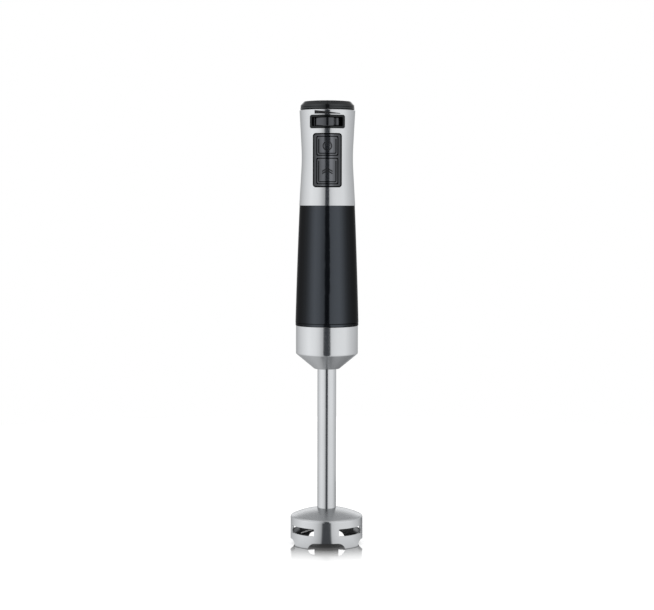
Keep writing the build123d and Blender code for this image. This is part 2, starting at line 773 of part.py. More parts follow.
def brush_springs():
    room = holder_end - HOLDER_WALL - brush_end() - 2 * FIT_GAP
    spring = coil(BRUSH_SPRING_DIA / 2, BRUSH_SPRING_WIRE, BRUSH_SPRING_TURNS, room)
    placed = Pos(brush_end() + FIT_GAP, 0, brush_middle) * Rot(0, 90, 0) * spring
    return Part() + both(placed)


def upper_bearing():
    outer = UPPER_BEARING_DIA / 2 - FIT_GAP
    return ring(outer, rotor_r + RUN_GAP, brush_plate_low, upper_bearing_high)


def motor_bolts():
    shank = pin(BOLT_DIA / 2, 0, bolt_circle_r, flange_high, brush_plate_high)
    head = pin(BOLT_HEAD_DIA / 2, 0, bolt_circle_r, brush_plate_high, brush_plate_high + BOLT_HEAD)
    return Part() + both(shank + head)


def motor_leads():
    """Two leads from the control board down to the brush bracket."""
    start_y = (BOARD_FRONT + board_back) / 2
    drop = (board_low - brush_plate_high) / 3
    leads = []
    for x in (-LEAD_OFFSET, LEAD_OFFSET):
        path = FilletPolyline(
            (x, -start_y, board_low),
            (x, -start_y, board_low - drop),
            (x, -LEAD_FOOT_DEPTH, brush_plate_high + drop),
            (x, -LEAD_FOOT_DEPTH, brush_plate_high),
            radius=LEAD_BEND,
        )
        leads.append(sweep(Plane(origin=path @ 0, z_dir=path % 0) * Circle(LEAD_DIA / 2), path=path))
    return Part() + leads


def rotor_shaft():
    return disc(rotor_r, motor_jaw_high, upper_bearing_high)


def armature_core():
    core = ring(armature_r, rotor_r + FIT_GAP, stator_low, stator_high)
    slot = sector(stator_r, ARMATURE_SLOT_DIA / 2, stator_low, stator_high, 0, ARMATURE_SLOT_ANGLE)
    return core - around(ARMATURE_SLOT_COUNT, slot)


def armature_winding():
    inner = ARMATURE_SLOT_DIA / 2 + FIT_GAP
    outer = WINDING_DIA / 2
    angle = ARMATURE_SLOT_ANGLE - 2 * WINDING_SIDE_ANGLE
    bars = around(ARMATURE_SLOT_COUNT, sector(outer, inner, stator_low, stator_high, 0, angle))
    lower = ring(outer, rotor_r + FIT_GAP, stator_low - WINDING_END, stator_low)
    upper = ring(outer, rotor_r + FIT_GAP, stator_high, stator_high + WINDING_END)
    return lower + upper + bars


def commutator():
    high = commutator_low + COMMUTATOR_LENGTH
    body = ring(COMMUTATOR_DIA / 2, rotor_r + FIT_GAP, commutator_low, high)
    bottom = COMMUTATOR_DIA / 2 - COMMUTATOR_CUT_DEPTH
    half = COMMUTATOR_CUT / 2
    cut = block((bottom, COMMUTATOR_DIA), (-half, half), (commutator_low, high))
    return body - around(ARMATURE_SLOT_COUNT, cut)


def cooling_fan():
    high = fan_low + FAN_PLATE + FAN_BLADE_HEIGHT
    fan = disc(FAN_DIA / 2, fan_low, fan_low + FAN_PLATE) + disc(FAN_HUB_DIA / 2, fan_low, high)
    half = FAN_BLADE_THICKNESS / 2
    vane = block((FAN_HUB_DIA / 2 - half, FAN_DIA / 2 - half), (-half, half), (fan_low, high))
    return fan + around(FAN_BLADE_COUNT, vane) - disc(rotor_r + FIT_GAP, fan_low, high)


def motor_dog():
    hub = ring(DOG_DIA / 2, rotor_r + FIT_GAP, motor_jaw_high, motor_jaw_high + DOG_HUB)
    return hub + jaws(shaft_jaw_low + JAW_TIP_GAP, motor_jaw_high, 0)


# Handle


def grip_sleeve():
    return sleeve_skin(0, SLEEVE_WALL, SLEEVE_EDGE)


def frame_bar(grow, back=0.0):
    """Rounded bar of the button frame's outline, grown all round."""
    middle = (frame_low + frame_high) / 2
    return facing(FRAME_WIDTH + 2 * grow, FRAME_HEIGHT + 2 * grow, middle, FRAME_CORNER + grow, back)


def dial_bar(grow, back=0.0):
    """Rounded bar of the speed wheel frame's outline, grown all round."""
    width = WINDOW_WIDTH + 2 * DIAL_BORDER_SIDE + 2 * grow
    height = window_height + 2 * DIAL_BORDER + 2 * grow
    return facing(width, height, wheel_middle, DIAL_CORNER + grow, back)


def steel_shell():
    return shell_skin(0, SHELL_WALL, SHELL_EDGE) - frame_bar(FIT_GAP) - dial_bar(FIT_GAP)


def top_cap():
    side = CAP_DIA / 2 - CAP_DRAFT
    rim = side - CAP_BEVEL_WIDTH
    crown = bevel_high + CAP_CROWN
    outline = [
        Line((0, cap_low), (CAP_DIA / 2, cap_low)),
        Line((CAP_DIA / 2, cap_low), (side, skirt_high)),
        Line((side, skirt_high), (rim, bevel_high)),
        ThreePointArc((rim, bevel_high), (rim / 2, crown - CAP_CROWN / 4), (0, crown)),
        Line((0, crown), (0, cap_low)),
    ]
    face = rounded(make_face(outline), (side, skirt_high), CAP_ROUND)
    cap = revolve(Plane.XZ * rounded(face, (rim, bevel_high), CAP_ROUND), Axis.Z)
    plug_r = SHELL_TOP_DIA / 2 - SHELL_WALL - SLIDE_GAP
    cap += disc(plug_r, cap_plug_low, cap_low)
    cap -= disc(plug_r - CAP_WALL, cap_plug_low, skirt_high)
    line_low = cap_low + CAP_LINE_RISE
    cap -= ring(CAP_DIA, side - CAP_LINE_DEPTH, line_low, line_low + CAP_LINE_WIDTH)
    return cap - pin(GLAND_DIA / 2 + FIT_GAP, 0, GLAND_SET_BACK, skirt_high, bevel_high + CAP_SKIRT)


def cord_gland():
    lip_low = skirt_high - GLAND_LIP
    gland = pin(GLAND_DIA / 2, 0, GLAND_SET_BACK, lip_low, bevel_high - GLAND_SINK)
    gland += pin(GLAND_DIA / 2 + GLAND_LIP, 0, GLAND_SET_BACK, lip_low, skirt_high)
    return gland - pin(GLAND_BORE_DIA / 2, 0, GLAND_SET_BACK, lip_low, bevel_high)


def screw_seats():
    """Places of the chassis screws: side, height and radius of the wall they stand on."""
    low = shell_low - SCREW_LOW_DROP
    wall = sleeve_radius(low) - SLEEVE_WALL - FIT_GAP - CHASSIS_WALL / 2
    high = shell_low + SCREW_HIGH_RISE
    upper = chassis_r - CHASSIS_WALL / 2
    return [(side, z, r) for side in (-1, 1) for z, r in ((low, wall), (high, upper))]


def chassis():
    """Inner housing before it is split into its two halves."""
    near = SLEEVE_WALL + FIT_GAP
    body = sleeve_skin(near, near + CHASSIS_WALL) - disc(SLEEVE_DIA, sleeve_low, flange_high)
    body += ring(chassis_r, chassis_bore_r, shell_low - CHASSIS_LEDGE, chassis_high)
    ledge_high = shell_low + CHASSIS_LEDGE
    ledge_r = shell_radius(ledge_high) - SHELL_WALL - FIT_GAP
    body += ring(ledge_r, chassis_bore_r, shell_low, ledge_high)
    rim_low = chassis_high - CHASSIS_LEDGE
    body += ring(shell_radius(rim_low) - SHELL_WALL - FIT_GAP, chassis_bore_r, rim_low, chassis_high)
    for low in (stator_low + CHASSIS_RIB, stator_high - 2 * CHASSIS_RIB):
        wall = sleeve_radius(low) - near - CHASSIS_WALL / 2
        body += ring(wall, stator_r + FIT_GAP, low, low + CHASSIS_RIB)
    for side, z, wall in screw_seats():
        inner = SCREW_OFFSET - BOSS_WIDTH / 2
        high = (z - BOSS_HEIGHT / 2, z + BOSS_HEIGHT / 2)
        boss = block((inner, wall), (-BOSS_DEPTH, BOSS_DEPTH + SCREW_HEAD), high) & disc(wall, *high)
        body += mirror(boss, Plane.YZ) if side < 0 else boss
    for side, z, wall in screw_seats():
        body -= rod(screw_hole_r, side * SCREW_OFFSET, z, BOSS_DEPTH - SCREW_LENGTH, BOSS_DEPTH)
        body -= rod(SCREW_HEAD_DIA / 2 + FIT_GAP, side * SCREW_OFFSET, z, BOSS_DEPTH, SLEEVE_DIA / 2)
    return body


def board_rails():
    """Slots at both sides that hold the control board's edges."""
    inner = BOARD_WIDTH / 2 - RAIL_GRIP
    high = board_low + BOARD_HEIGHT - POT_HEIGHT
    front = (-BOARD_FRONT - FIT_GAP - RAIL_THICKNESS, -BOARD_FRONT - FIT_GAP)
    back = (-board_back + FIT_GAP, -board_back + FIT_GAP + RAIL_THICKNESS)
    room = disc(chassis_r - CHASSIS_WALL / 2, board_low, high)
    rails = [block((inner, chassis_r), y, (board_low, high)) & room for y in (front, back)]
    return rails + [mirror(rail, Plane.YZ) for rail in rails]


def chassis_front():
    half = chassis() & block((-SLEEVE_DIA, SLEEVE_DIA), (-SLEEVE_DIA, -SPLIT_GAP / 2), (0, cap_low))
    depth = BOARD_FRONT + BOARD_THICKNESS * 2
    half -= frame_bar(FRAME_LIP + SLIDE_GAP, depth)
    half -= dial_bar(DIAL_LIP + SLIDE_GAP, depth)
    return half + board_rails()


def chassis_rear():
    return chassis() & block((-SLEEVE_DIA, SLEEVE_DIA), (SPLIT_GAP / 2, SLEEVE_DIA), (0, cap_low))


def chassis_screws():
    screws = []
    for side, z, wall in screw_seats():
        x = side * SCREW_OFFSET
        shank = rod(SCREW_DIA / 2, x, z, BOSS_DEPTH - SCREW_LENGTH + SCREW_HEAD, BOSS_DEPTH)
        screws.append(shank + rod(SCREW_HEAD_DIA / 2, x, z, BOSS_DEPTH, BOSS_DEPTH + SCREW_HEAD))
    return Part() + screws


# Buttons and speed wheel


def button_bar(height, middle, grow, corner=BUTTON_CORNER):
    """Rounded bar of a button's outline, grown all round."""
    return facing(BUTTON_WIDTH + 2 * grow, height + 2 * grow, middle, corner)


def button_line(height, middle):
    """Groove near the sides and the lower edge of a button, open at the top."""
    outer = button_bar(height, middle, -BUTTON_LINE_INSET, BUTTON_LINE_CORNER + BUTTON_LINE_WIDTH)
    inner = button_bar(height, middle, -BUTTON_LINE_INSET - BUTTON_LINE_WIDTH, BUTTON_LINE_CORNER)
    top = middle + height / 2 - 2 * BUTTON_LINE_INSET
    above = block((-BUTTON_WIDTH, BUTTON_WIDTH), (-2 * SLEEVE_DIA, 0), (top, top + height))
    return (outer - inner - above) & shell_skin(BUTTON_PROUD * 2, BUTTON_LINE_DEPTH - BUTTON_PROUD)


def button_frame():
    frame = frame_bar(-FRAME_STEP) & shell_skin(FRAME_PROUD, FRAME_DEPTH)
    frame += frame_bar(0) & shell_skin(-FRAME_SINK, FRAME_DEPTH)
    frame += frame_bar(FRAME_LIP) & shell_skin(-SHELL_WALL - FIT_GAP, FRAME_DEPTH)
    frame -= button_bar(POWER_HEIGHT, power_middle, BUTTON_GAP)
    return frame - button_bar(BOOST_HEIGHT, boost_middle, BUTTON_GAP)


def button_back(middle):
    """Distance of a button's back from the axis of the blender."""
    return shell_radius(middle) - FRAME_DEPTH - SLIDE_GAP - BUTTON_LIP_THICKNESS


def button(height, middle):
    back = FRAME_DEPTH + SLIDE_GAP + BUTTON_LIP_THICKNESS
    key = button_bar(height, middle, 0) & shell_skin(BUTTON_PROUD, back)
    key += button_bar(height, middle, BUTTON_LIP) & shell_skin(-FRAME_DEPTH - SLIDE_GAP, back)
    key -= button_line(height, middle)
    return key + rod(STEM_DIA / 2, 0, middle, -button_back(middle) - BUTTON_LIP_THICKNESS / 2, -stem_end)


def plunger(middle):
    """Pin that a button's stem pushes into its switch."""
    back = switch_front - SWITCH_BORE_DEPTH + BUTTON_TRAVEL + SLIDE_GAP
    return rod(PLUNGER_DIA / 2, 0, middle, -stem_end, -back)


def button_spring(middle):
    room = button_back(middle) - switch_front - SLIDE_GAP - FIT_GAP
    spring = coil(SPRING_DIA / 2, SPRING_WIRE, SPRING_TURNS, room)
    return Pos(0, -switch_front - FIT_GAP, middle) * Rot(90, 0, 0) * spring


def power_button():
    return button(POWER_HEIGHT, power_middle)


def boost_button():
    return button(BOOST_HEIGHT, boost_middle)


def power_plunger():
    return plunger(power_middle)


def boost_plunger():
    return plunger(boost_middle)


def power_spring():
    return button_spring(power_middle)


def boost_spring():
    return button_spring(boost_middle)


def dial_frame():
    frame = dial_bar(0) & shell_skin(DIAL_PROUD, DIAL_DEPTH)
    frame += dial_bar(DIAL_LIP) & shell_skin(-SHELL_WALL - FIT_GAP, DIAL_DEPTH)
    return frame - facing(WINDOW_WIDTH, window_height, wheel_middle, WINDOW_CORNER)


def wheel_depth():
    """Distance of the wheel's axis from the axis of the blender."""
    return shell_radius(wheel_middle) + WHEEL_PROUD - WHEEL_DIA / 2


def speed_wheel():
    rim = WHEEL_DIA / 2
    high = wheel_low + WHEEL_HEIGHT
    wheel = turned([
        (0, wheel_low),
        (rim - WHEEL_CHAMFER, wheel_low),
        (rim, wheel_low + WHEEL_CHAMFER),
        (rim, high - WHEEL_CHAMFER),
        (rim - WHEEL_CHAMFER, high),
        (0, high),
    ])
    groove = pin(WHEEL_GROOVE_DIA / 2, rim, 0, wheel_low, high)
    wheel -= around(WHEEL_GROOVE_COUNT, groove, WHEEL_GROOVE_ANGLE - 90)
    wheel += disc(POT_SHAFT_DIA / 2, pot_high - POT_SHAFT_DEPTH, wheel_low)
    return Pos(0, -wheel_depth()) * wheel


# Control board


def control_board():
    half = BOARD_WIDTH / 2
    return block((-half, half), (-BOARD_FRONT, -board_back), (board_low, board_low + BOARD_HEIGHT))


def speed_control():
    half = POT_SIZE / 2
    front = -wheel_depth() - half
    body = block((-half, half), (front, -BOARD_FRONT), (pot_high - POT_HEIGHT, pot_high))
    bore = POT_SHAFT_DIA / 2 + RUN_GAP
    return body - pin(bore, 0, -wheel_depth(), pot_high - POT_SHAFT_DEPTH - SLIDE_GAP, pot_high)


def switches():
    half_x = SWITCH_WIDTH / 2
    half_z = SWITCH_HEIGHT / 2
    bodies = []
    for z in (power_middle, boost_middle):
        body = block((-half_x, half_x), (-switch_front, -BOARD_FRONT), (z - half_z, z + half_z))
        bore = rod(PLUNGER_DIA / 2 + RUN_GAP, 0, z, -switch_front, SWITCH_BORE_DEPTH - switch_front)
        bodies.append(body - bore)
    return Part() + bodies


def film_capacitor():
    low = board_low + CAPACITOR_RISE
    half = CAPACITOR_WIDTH / 2
    return block((-half, half), (-board_back, CAPACITOR_DEPTH - board_back), (low, low + CAPACITOR_HEIGHT))


def heat_sink():
    low = board_low + SINK_RISE
    high = low + SINK_HEIGHT
    half = SINK_WIDTH / 2
    sink = block((-half, half), (-board_back, SINK_PLATE - board_back), (low, high))
    step = (SINK_WIDTH - SINK_PLATE) / (SINK_FIN_COUNT - 1)
    for i in range(SINK_FIN_COUNT):
        x = i * step - half
        sink += block((x, x + SINK_PLATE), (-board_back, SINK_DEPTH - board_back), (low, high))
    return sink


PIECES = [
    blade_guard,
    shaft_tube,
    shaft_seal,
    lower_bush,
    upper_bush,
    thrust_washer,
    coupling_bell,
    coupling_socket,
    drive_shaft,
    shaft_dog,
    blade_collar,
    blade,
    blade_nut,
    joint_ring,
    coupling_spigot,
    base_screws,
    drive_end_bracket,
    lower_bearing,
    stator_core,
    field_coils,
    brush_bracket,
    brush_holders,
    carbon_brushes,
    brush_springs,
    upper_bearing,
    motor_bolts,
    motor_leads,
    rotor_shaft,
    armature_core,
    armature_winding,
    commutator,
    cooling_fan,
    motor_dog,
    grip_sleeve,
    steel_shell,
    top_cap,
    cord_gland,
    chassis_front,
    chassis_rear,
    chassis_screws,
    button_frame,
    power_button,
    boost_button,
    power_plunger,
    boost_plunger,
    power_spring,
    boost_spring,
    dial_frame,
    speed_wheel,
    control_board,
    speed_control,
    switches,
    film_capacitor,
    heat_sink,
]

os.makedirs("parts", exist_ok=True)
for piece in PIECES:
    export_step(piece(), f"parts/{piece.__name__}.step")
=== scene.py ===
"""Looks of an immersion blender: finishes for its CAD pieces, printed marks and a small studio."""

import math

import bmesh
import bpy
from mathutils import Matrix, Vector


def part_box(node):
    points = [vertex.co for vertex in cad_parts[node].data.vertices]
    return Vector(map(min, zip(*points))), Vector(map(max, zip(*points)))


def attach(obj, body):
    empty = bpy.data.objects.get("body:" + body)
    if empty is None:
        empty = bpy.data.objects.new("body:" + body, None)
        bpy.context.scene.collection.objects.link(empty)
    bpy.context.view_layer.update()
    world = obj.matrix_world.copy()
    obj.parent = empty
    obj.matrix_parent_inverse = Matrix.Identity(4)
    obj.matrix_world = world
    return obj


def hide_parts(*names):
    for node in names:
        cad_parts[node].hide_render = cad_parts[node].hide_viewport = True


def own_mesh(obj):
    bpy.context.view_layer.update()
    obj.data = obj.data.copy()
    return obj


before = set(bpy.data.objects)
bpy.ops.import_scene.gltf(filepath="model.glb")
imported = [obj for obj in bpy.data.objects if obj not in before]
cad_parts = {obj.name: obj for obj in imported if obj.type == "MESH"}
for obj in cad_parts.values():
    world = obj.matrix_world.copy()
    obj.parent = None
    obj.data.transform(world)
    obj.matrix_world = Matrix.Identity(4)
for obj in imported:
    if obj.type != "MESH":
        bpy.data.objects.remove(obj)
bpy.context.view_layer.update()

bl_info = {
    "name": "Immersion blender looks",
    "version": (1, 0, 0),
    "blender": (4, 5, 0),
    "location": "3D View > Sidebar > Hand blender",
    "description": "Finishes, printed marks and stage of an immersion blender",
    "category": "Object",
}

# Pieces by finish
POLISHED_STEEL = ("steel_shell", "coupling_bell", "shaft_tube", "blade_guard")
GROUND_STEEL = (
    "blade",
    "blade_nut",
    "blade_collar",
    "drive_shaft",
    "rotor_shaft",
    "lower_bearing",
    "upper_bearing",
    "chassis_screws",
    "base_screws",
    "motor_bolts",
    "brush_springs",
    "power_spring",
    "boost_spring",
)
GLOSS_BLACK = ("grip_sleeve", "joint_ring")
WHEEL_BLACK = ("speed_wheel",)
CAP_BLACK = ("top_cap",)
FRAME_BLACK = ("dial_frame",)
BUTTON_GREY = ("button_frame", "power_button", "boost_button")
SOFT_RUBBER = ("cord_gland", "shaft_seal", "motor_leads")
INNER_PLASTIC = (
    "chassis_front",
    "chassis_rear",
    "coupling_spigot",
    "coupling_socket",
    "drive_end_bracket",
    "brush_bracket",
    "cooling_fan",
    "motor_dog",
    "shaft_dog",
    "power_plunger",
    "boost_plunger",
    "speed_control",
    "switches",
    "film_capacitor",
)
BRONZE = ("upper_bush", "lower_bush", "thrust_washer", "brush_holders")
COPPER_WIRE = ("field_coils", "armature_winding")
COPPER_BARS = ("commutator",)
CORE_IRON = ("stator_core", "armature_core")
CARBON = ("carbon_brushes",)
CIRCUIT_BOARD = ("control_board",)
ALUMINIUM = ("heat_sink",)

# Noise keeps mostly between these values
NOISE_LOW, NOISE_HIGH = 0.3, 0.7

# Painted shade in hollows and grooves, which darkens a finish: reach in metres, and openness from
# dark to fully lit
STEEL_HOLLOW_SHADE = (0.03, (0.15, 0.5))
GROUND_HOLLOW_SHADE = (0.04, (0.62, 0.95))
WHEEL_GROOVE_SHADE = (0.0016, (0.76, 0.98))
SATIN_JOINT_SHADE = (0.0012, (0.68, 0.98))
BUTTON_LINE_SHADE = (0.0022, (0.74, 0.99))
OPENNESS_SAMPLES = 8

# Slopes of the polished steel: height of the normal from polished to brushed, and the roughness
# that is added above and below
BRUSHED_FROM, BRUSHED_TO = 0.25, 0.5
BRUSHED_ABOVE = 0.16
BRUSHED_BELOW = 0.09

# Tints of the gloss on dark pieces
LACQUER_TINT = (0.78, 0.87, 1.0, 1)
PLASTIC_TINT = (0.9, 0.93, 1.0, 1)
SATIN_TINT = (0.92, 0.97, 1.0, 1)

# Added to a grey level of the studio, so that the dark gap is a little blue
COOL_GREEN, COOL_BLUE = 0.0035, 0.009

# Ring on the upper button: degrees from its top to either end, and steps round it
RING_OPENING = 35
RING_STEPS = 58
BAR_GRID = (2, 12)  # columns and rows of the bar
BAR_RISE = 0.3  # middle of the bar above the button's, as a share of the ring's diameter
# Chevrons on the lower button
CHEVRON_LINE = 1.3  # height of a line, as a share of the marks' line
CHEVRON_SLOPE = 0.55
CHEVRON_RISE = 0.14  # middle of the pair above the button's, as a share of a chevron's width
CHEVRON_STEP = 1.2  # from that middle to a chevron, as a share of the marks' line
CHEVRON_COLUMNS = 12  # of each half
# Speed mark above the wheel
RAMP_COLUMNS = 48

# Y in front of the blender, from where marks are laid on it
RAY_START = -1
# Doubles are merged below these distances, in metres
MESH_WELD = 1e-7
MARK_WELD = 1e-6

# Brightness of the studio round the blender: degrees from the camera's side towards +X, and level
SWEEP = (
    (-180, 0.4),
    (-161, 0.42),
    (-142, 0.52),
    (-122, 0.66),
    (-100, 0.80),
    (-71, 0.95),
    (-43, 0.88),
    (-29, 0.76),
    (-21, 0.61),
    (-12.5, 0.47),
    (-9, 0.44),
    (9, 0.6),
    (12.5, 0.68),
    (25, 0.81),
    (40, 0.87),
    (71, 0.87),
    (100, 0.68),
    (122, 0.58),
    (142, 0.5),
    (161, 0.42),
    (180, 0.4),
)

# The same from the horizon to straight above: sine of the height, and share of the level
RISE = ((0, 1.0), (0.1, 1.0), (0.5, 0.78), (0.7, 0.84), (0.87, 0.9), (1, 0.55))

# Brightness in the dark gap as a share of its level, over a range of the height's sine
GAP_HEIGHTS = (-0.2, 0.2)
GAP = ((0.335, 1.0), (0.375, 0.23), (0.54, 0.23), (0.64, 0.73))

# Sines over which the gap narrows, from its width below the horizon
GAP_NARROWS = (-0.075, -0.03)

# Bright wall at the back: level, sines over which it begins above the floor, and towards +Y
BACK_LEVEL = 1.06
BACK_RISES = (0.06, 0.11)
BACK_BEGINS = (0.75, 0.92)

# White patch on that wall, which the floor mirrors to the camera: sine of its height, the distance
# from that height over which it ends, and where it begins towards +Y
PATCH_HEIGHT = 0.2
PATCH_ENDS = (0.03, 0.09)
PATCH_BEGINS = (0.93, 0.97)

# A ray's depth in a direct reflection, which the world counts as one more than a surface does
DEPTH_IN_WORLD = 2
DEPTH_ON_FLOOR = 1

WHITE = (1, 1, 1, 1)

# Floor: grey of its white, its own glow below the guard, and how far it lies below the feet
FLOOR_GREY = (0.6, 0.6, 0.6)
FLOOR_GLOW = (0.62, 0.62, 0.62, 1)
FLOOR_DROP = 0.0002
FLOOR_SEGMENTS = 128
GUARD_RIM = (0.031, 0.033)  # where the floor comes out from below the guard's rim
MIRROR_ENDS = (0.01, 0.06)  # behind the axis, where the floor stops being a mirror
BEHIND_ENDS = (0.2, 0.4)  # from the axis, where the shares of BEHIND end
FLOOR_GAP = 1.2  # brightness of the dark gap on the floor, as a share of its level
FLOOR_EDGE = 3  # width of the gap's soft edge on the floor, as a share of the studio's

# The floor's brightness to glossy rays by its distance from the axis, as a share of REACH, with
# painted shade below and round the guard
REACH = 0.4
CLEARING = ((0.077, 0.06), (0.09, 0.75), (0.15, 0.82), (0.25, 0.9), (1, 0.95))
# How much of a mirror the floor is to the camera, by that share
MIRROR = (
    (0.07, 0.6),
    (0.078, 0.84),
    (0.09, 0.79),
    (0.1, 0.72),
    (0.11, 0.66),
    (0.12, 0.58),
    (0.131, 0.5),
    (0.142, 0.43),
    (0.152, 0.37),
    (0.183, 0.21),
    (0.2125, 0.1),
    (0.28, 0),
)
# How bright it glows to the camera, by that share: painted shade below the guard, and full glow
# from its rim outwards
BELOW = ((0, 0.06), (0.05, 0.16), (0.0675, 0.42), (0.077, 0.55), (0.08, 1))

# Shares of the studio's brightness: turn from behind by way of the left, and share. The floor has
# its own behind the blender
EVERYWHERE = ((0, 1), (1, 1))
BEHIND = (
    (0, 0.42),
    (0.01, 0.6),
    (0.03, 0.92),
    (0.12, 0.92),
    (0.2, 1),
    (0.8, 1),
    (0.88, 0.56),
    (0.98, 0.54),
    (0.99, 0.5),
    (1, 0.42),
)

# Gloss of the dark pieces: share turned away from the view, and specular level
SLEEVE_GLOSS = (
    (0, 0.46),
    (0.087, 0.46),
    (0.134, 0.36),
    (0.2, 0.2),
    (0.28, 0.1),
    (0.4, 0.04),
    (0.5, 0.018),
    (0.62, 0.008),
)
BUTTON_GLOSS = (
    (0, 0.76),
    (0.012, 0.68),
    (0.034, 0.36),
    (0.08, 0.21),
    (0.2, 0.18),
    (0.5, 0.08),
)
CAP_GLOSS = ((0, 0.46), (0.1, 0.46), (0.33, 0.3), (0.7, 0.17), (0.95, 0.1))
FRAME_GLOSS = ((0, 0.22), (0.1, 0.2), (0.5, 0.1))

# Soft lamps, which reflections do not show: name, place, side in metres and power in watts
LAMPS = (
    ("left_box", (-1.2, -1.5, 1.0), 0.9, 16),
    ("right_box", (1.3, -1.3, 0.9), 0.9, 11),
    ("top_box", (0.1, 0.3, 1.7), 1.0, 9),
)
LAMP_AIM = (0, 0, 0.2)
SENSOR_WIDTH = 36  # of the camera, in millimetres
CLIP_START = 0.05


def colour_property(name, text, value):
    """Colour property with linear values."""
    return bpy.props.FloatVectorProperty(
        name=name, description=text, default=value, size=3, min=0, max=1, subtype="COLOR"
    )


def length_property(name, text, value):
    """Length property, in metres."""
    return bpy.props.FloatProperty(name=name, description=text, default=value, unit="LENGTH")


def angle_property(name, text, degrees):
    """Angle property, with its default in degrees."""
    return bpy.props.FloatProperty(
        name=name, description=text, default=math.radians(degrees), subtype="ANGLE"
    )


def factor_property(name, text, value):
    """Property of a share or a level."""
    return bpy.props.FloatProperty(name=name, description=text, default=value, subtype="FACTOR")


class HANDBLENDER_PG_finish(bpy.types.PropertyGroup):
    """Colours of the finishes"""

    steel: colour_property(
        "Polished steel", "Reflected tint of the shell, bell, tube and guard", (0.79, 0.805, 0.82)
    )
    ground: colour_property(
        "Ground steel", "Blade, shafts, bearings and screws", (0.56, 0.56, 0.57)
    )
    sleeve: colour_property(
        "Grip sleeve", "Gloss black lacquer of the grip and the joint ring", (0.0022, 0.0025, 0.003)
    )
    cap: colour_property(
        "Cap", "Black plastic of the cap and the frame of the wheel", (0.0045, 0.0048, 0.005)
    )
    button: colour_property(
        "Buttons", "Dark lacquer of the buttons and their frame", (0.004, 0.0041, 0.0045)
    )
    wheel: colour_property(
        "Speed wheel", "Gloss black plastic of the speed wheel", (0.002, 0.002, 0.0025)
    )
    rubber: colour_property(
        "Rubber", "Cord gland, shaft seal and motor leads", (0.018, 0.018, 0.019)
    )
    inner: colour_property(
        "Inner plastic", "Chassis, coupling and motor mouldings", (0.055, 0.057, 0.060)
    )
    bronze: colour_property("Bronze", "Sintered bushes and brush holders", (0.55, 0.33, 0.13))
    copper: colour_property("Copper", "Enamelled winding wire and commutator", (0.62, 0.26, 0.11))
    iron: colour_property("Core iron", "Stamped sheets of the motor's cores", (0.16, 0.16, 0.165))
    carbon: colour_property("Carbon", "Motor brushes", (0.02, 0.02, 0.021))
    board: colour_property("Circuit board", "Solder mask of the control board", (0.012, 0.11, 0.04))
    aluminium: colour_property("Aluminium", "Heat sink", (0.74, 0.75, 0.76))
    ink: colour_property("Ink", "Printed and pressed marks", (0.006, 0.006, 0.007))


class HANDBLENDER_PG_marks(bpy.types.PropertyGroup):
    """Sizes of the marks"""

    film: length_property("Film", "Thickness of a printed mark above its ground", 0.00003)
    ramp_length: length_property("Ramp length", "Speed mark from end to end", 0.0222)
    ramp_tall: length_property("Ramp tall end", "Height of the speed mark at its left end", 0.0031)
    ramp_slim: length_property("Ramp slim end", "Height of the speed mark at its right end", 0.0005)
    ramp_drop: length_property(
        "Ramp drop", "Top of the shell to the middle of the speed mark", 0.0024
    )
    ring_diameter: length_property(
        "Ring diameter", "Outer diameter of the ring on the upper button", 0.0082
    )
    line: length_property("Line", "Width of the lines of the button marks", 0.0008)
    chevron: length_property("Chevron width", "Width of a chevron on the lower button", 0.009)


class HANDBLENDER_PG_stage(bpy.types.PropertyGroup):
    """Camera, light and floor"""

    distance: length_property("Distance", "Camera to the axis of the blender", 1.49)
    height: length_property("Height", "Camera above the floor", 0.2995)
    tilt: angle_property("Tilt", "Camera below the horizontal", 3.4014)
    roll: angle_property("Roll", "Camera turned about its line of sight", 0.13)
    lens: bpy.props.FloatProperty(
        name="Lens", description="Focal length on a 36 mm wide sensor", default=93.58, unit="CAMERA"
    )
    floor: length_property("Floor", "Radius of the floor", 0.9)
    gap: angle_property(
        "Dark gap",
        "Half width of the dark gap between the soft boxes, where the camera stands",
        8.6,
    )
    gap_low: angle_property("Dark gap below", "Half width of the dark gap below the horizon", 13.5)
    gap_floor: angle_property(
        "Dark gap on the floor", "Half width of the dark gap on the floor", 12.5
    )
    gap_edge: angle_property("Gap edge", "Half width of the soft edge of the dark gap", 0.7)
    gap_level: factor_property("Gap level", "Brightness in the dark gap", 0.06)
    echo: factor_property("Echo", "Brightness left in a second reflection", 0.54)
    fill: factor_property("Fill", "Even light from all round", 0.5)


# Node helpers


def put(tree, kind, inputs=(), **settings):
    """New shader node with its settings, and its inputs set or linked."""
    node = tree.nodes.new("ShaderNode" + kind)
    for name, value in settings.items():
        setattr(node, name, value)
    for key, value in dict(inputs).items():
        if isinstance(value, bpy.types.NodeSocket):
            tree.links.new(value, node.inputs[key])
        else:
            node.inputs[key].default_value = value
    return node


def figure(tree, operation, *values):
    """Result of a Math node."""
    return put(tree, "Math", enumerate(values), operation=operation).outputs[0]


def spread(tree, value, low, high, start=0.0, end=1.0):
    """Value from start to end, spread from low to high."""
    inputs = {"Value": value, "From Min": start, "From Max": end, "To Min": low, "To Max": high}
    return put(tree, "MapRange", inputs).outputs["Result"]


def uneven(tree, pattern, low, high):
    """Level that wavers from low to high with a noise."""
    return spread(tree, pattern, low, high, NOISE_LOW, NOISE_HIGH)


def noise(tree, place, scale, detail=2.0, rough=0.5):
    """Noise that is scaled along each axis, in waves per metre."""
    scaled = put(tree, "Mapping", {"Vector": place, "Scale": scale}).outputs["Vector"]
    inputs = {"Vector": scaled, "Scale": 1.0, "Detail": detail, "Roughness": rough}
    return put(tree, "TexNoise", inputs).outputs["Fac"]


def tinted(tree, value, colour, low, high):
    """Colour that is darkened and lightened by a value from 0 to 1."""
    ramp = put(tree, "ValToRGB", {"Fac": value})
    for stop, share in zip(ramp.color_ramp.elements, (low, high)):
        stop.color = (*(min(1.0, share * c) for c in colour), 1)
    return ramp.outputs["Color"]


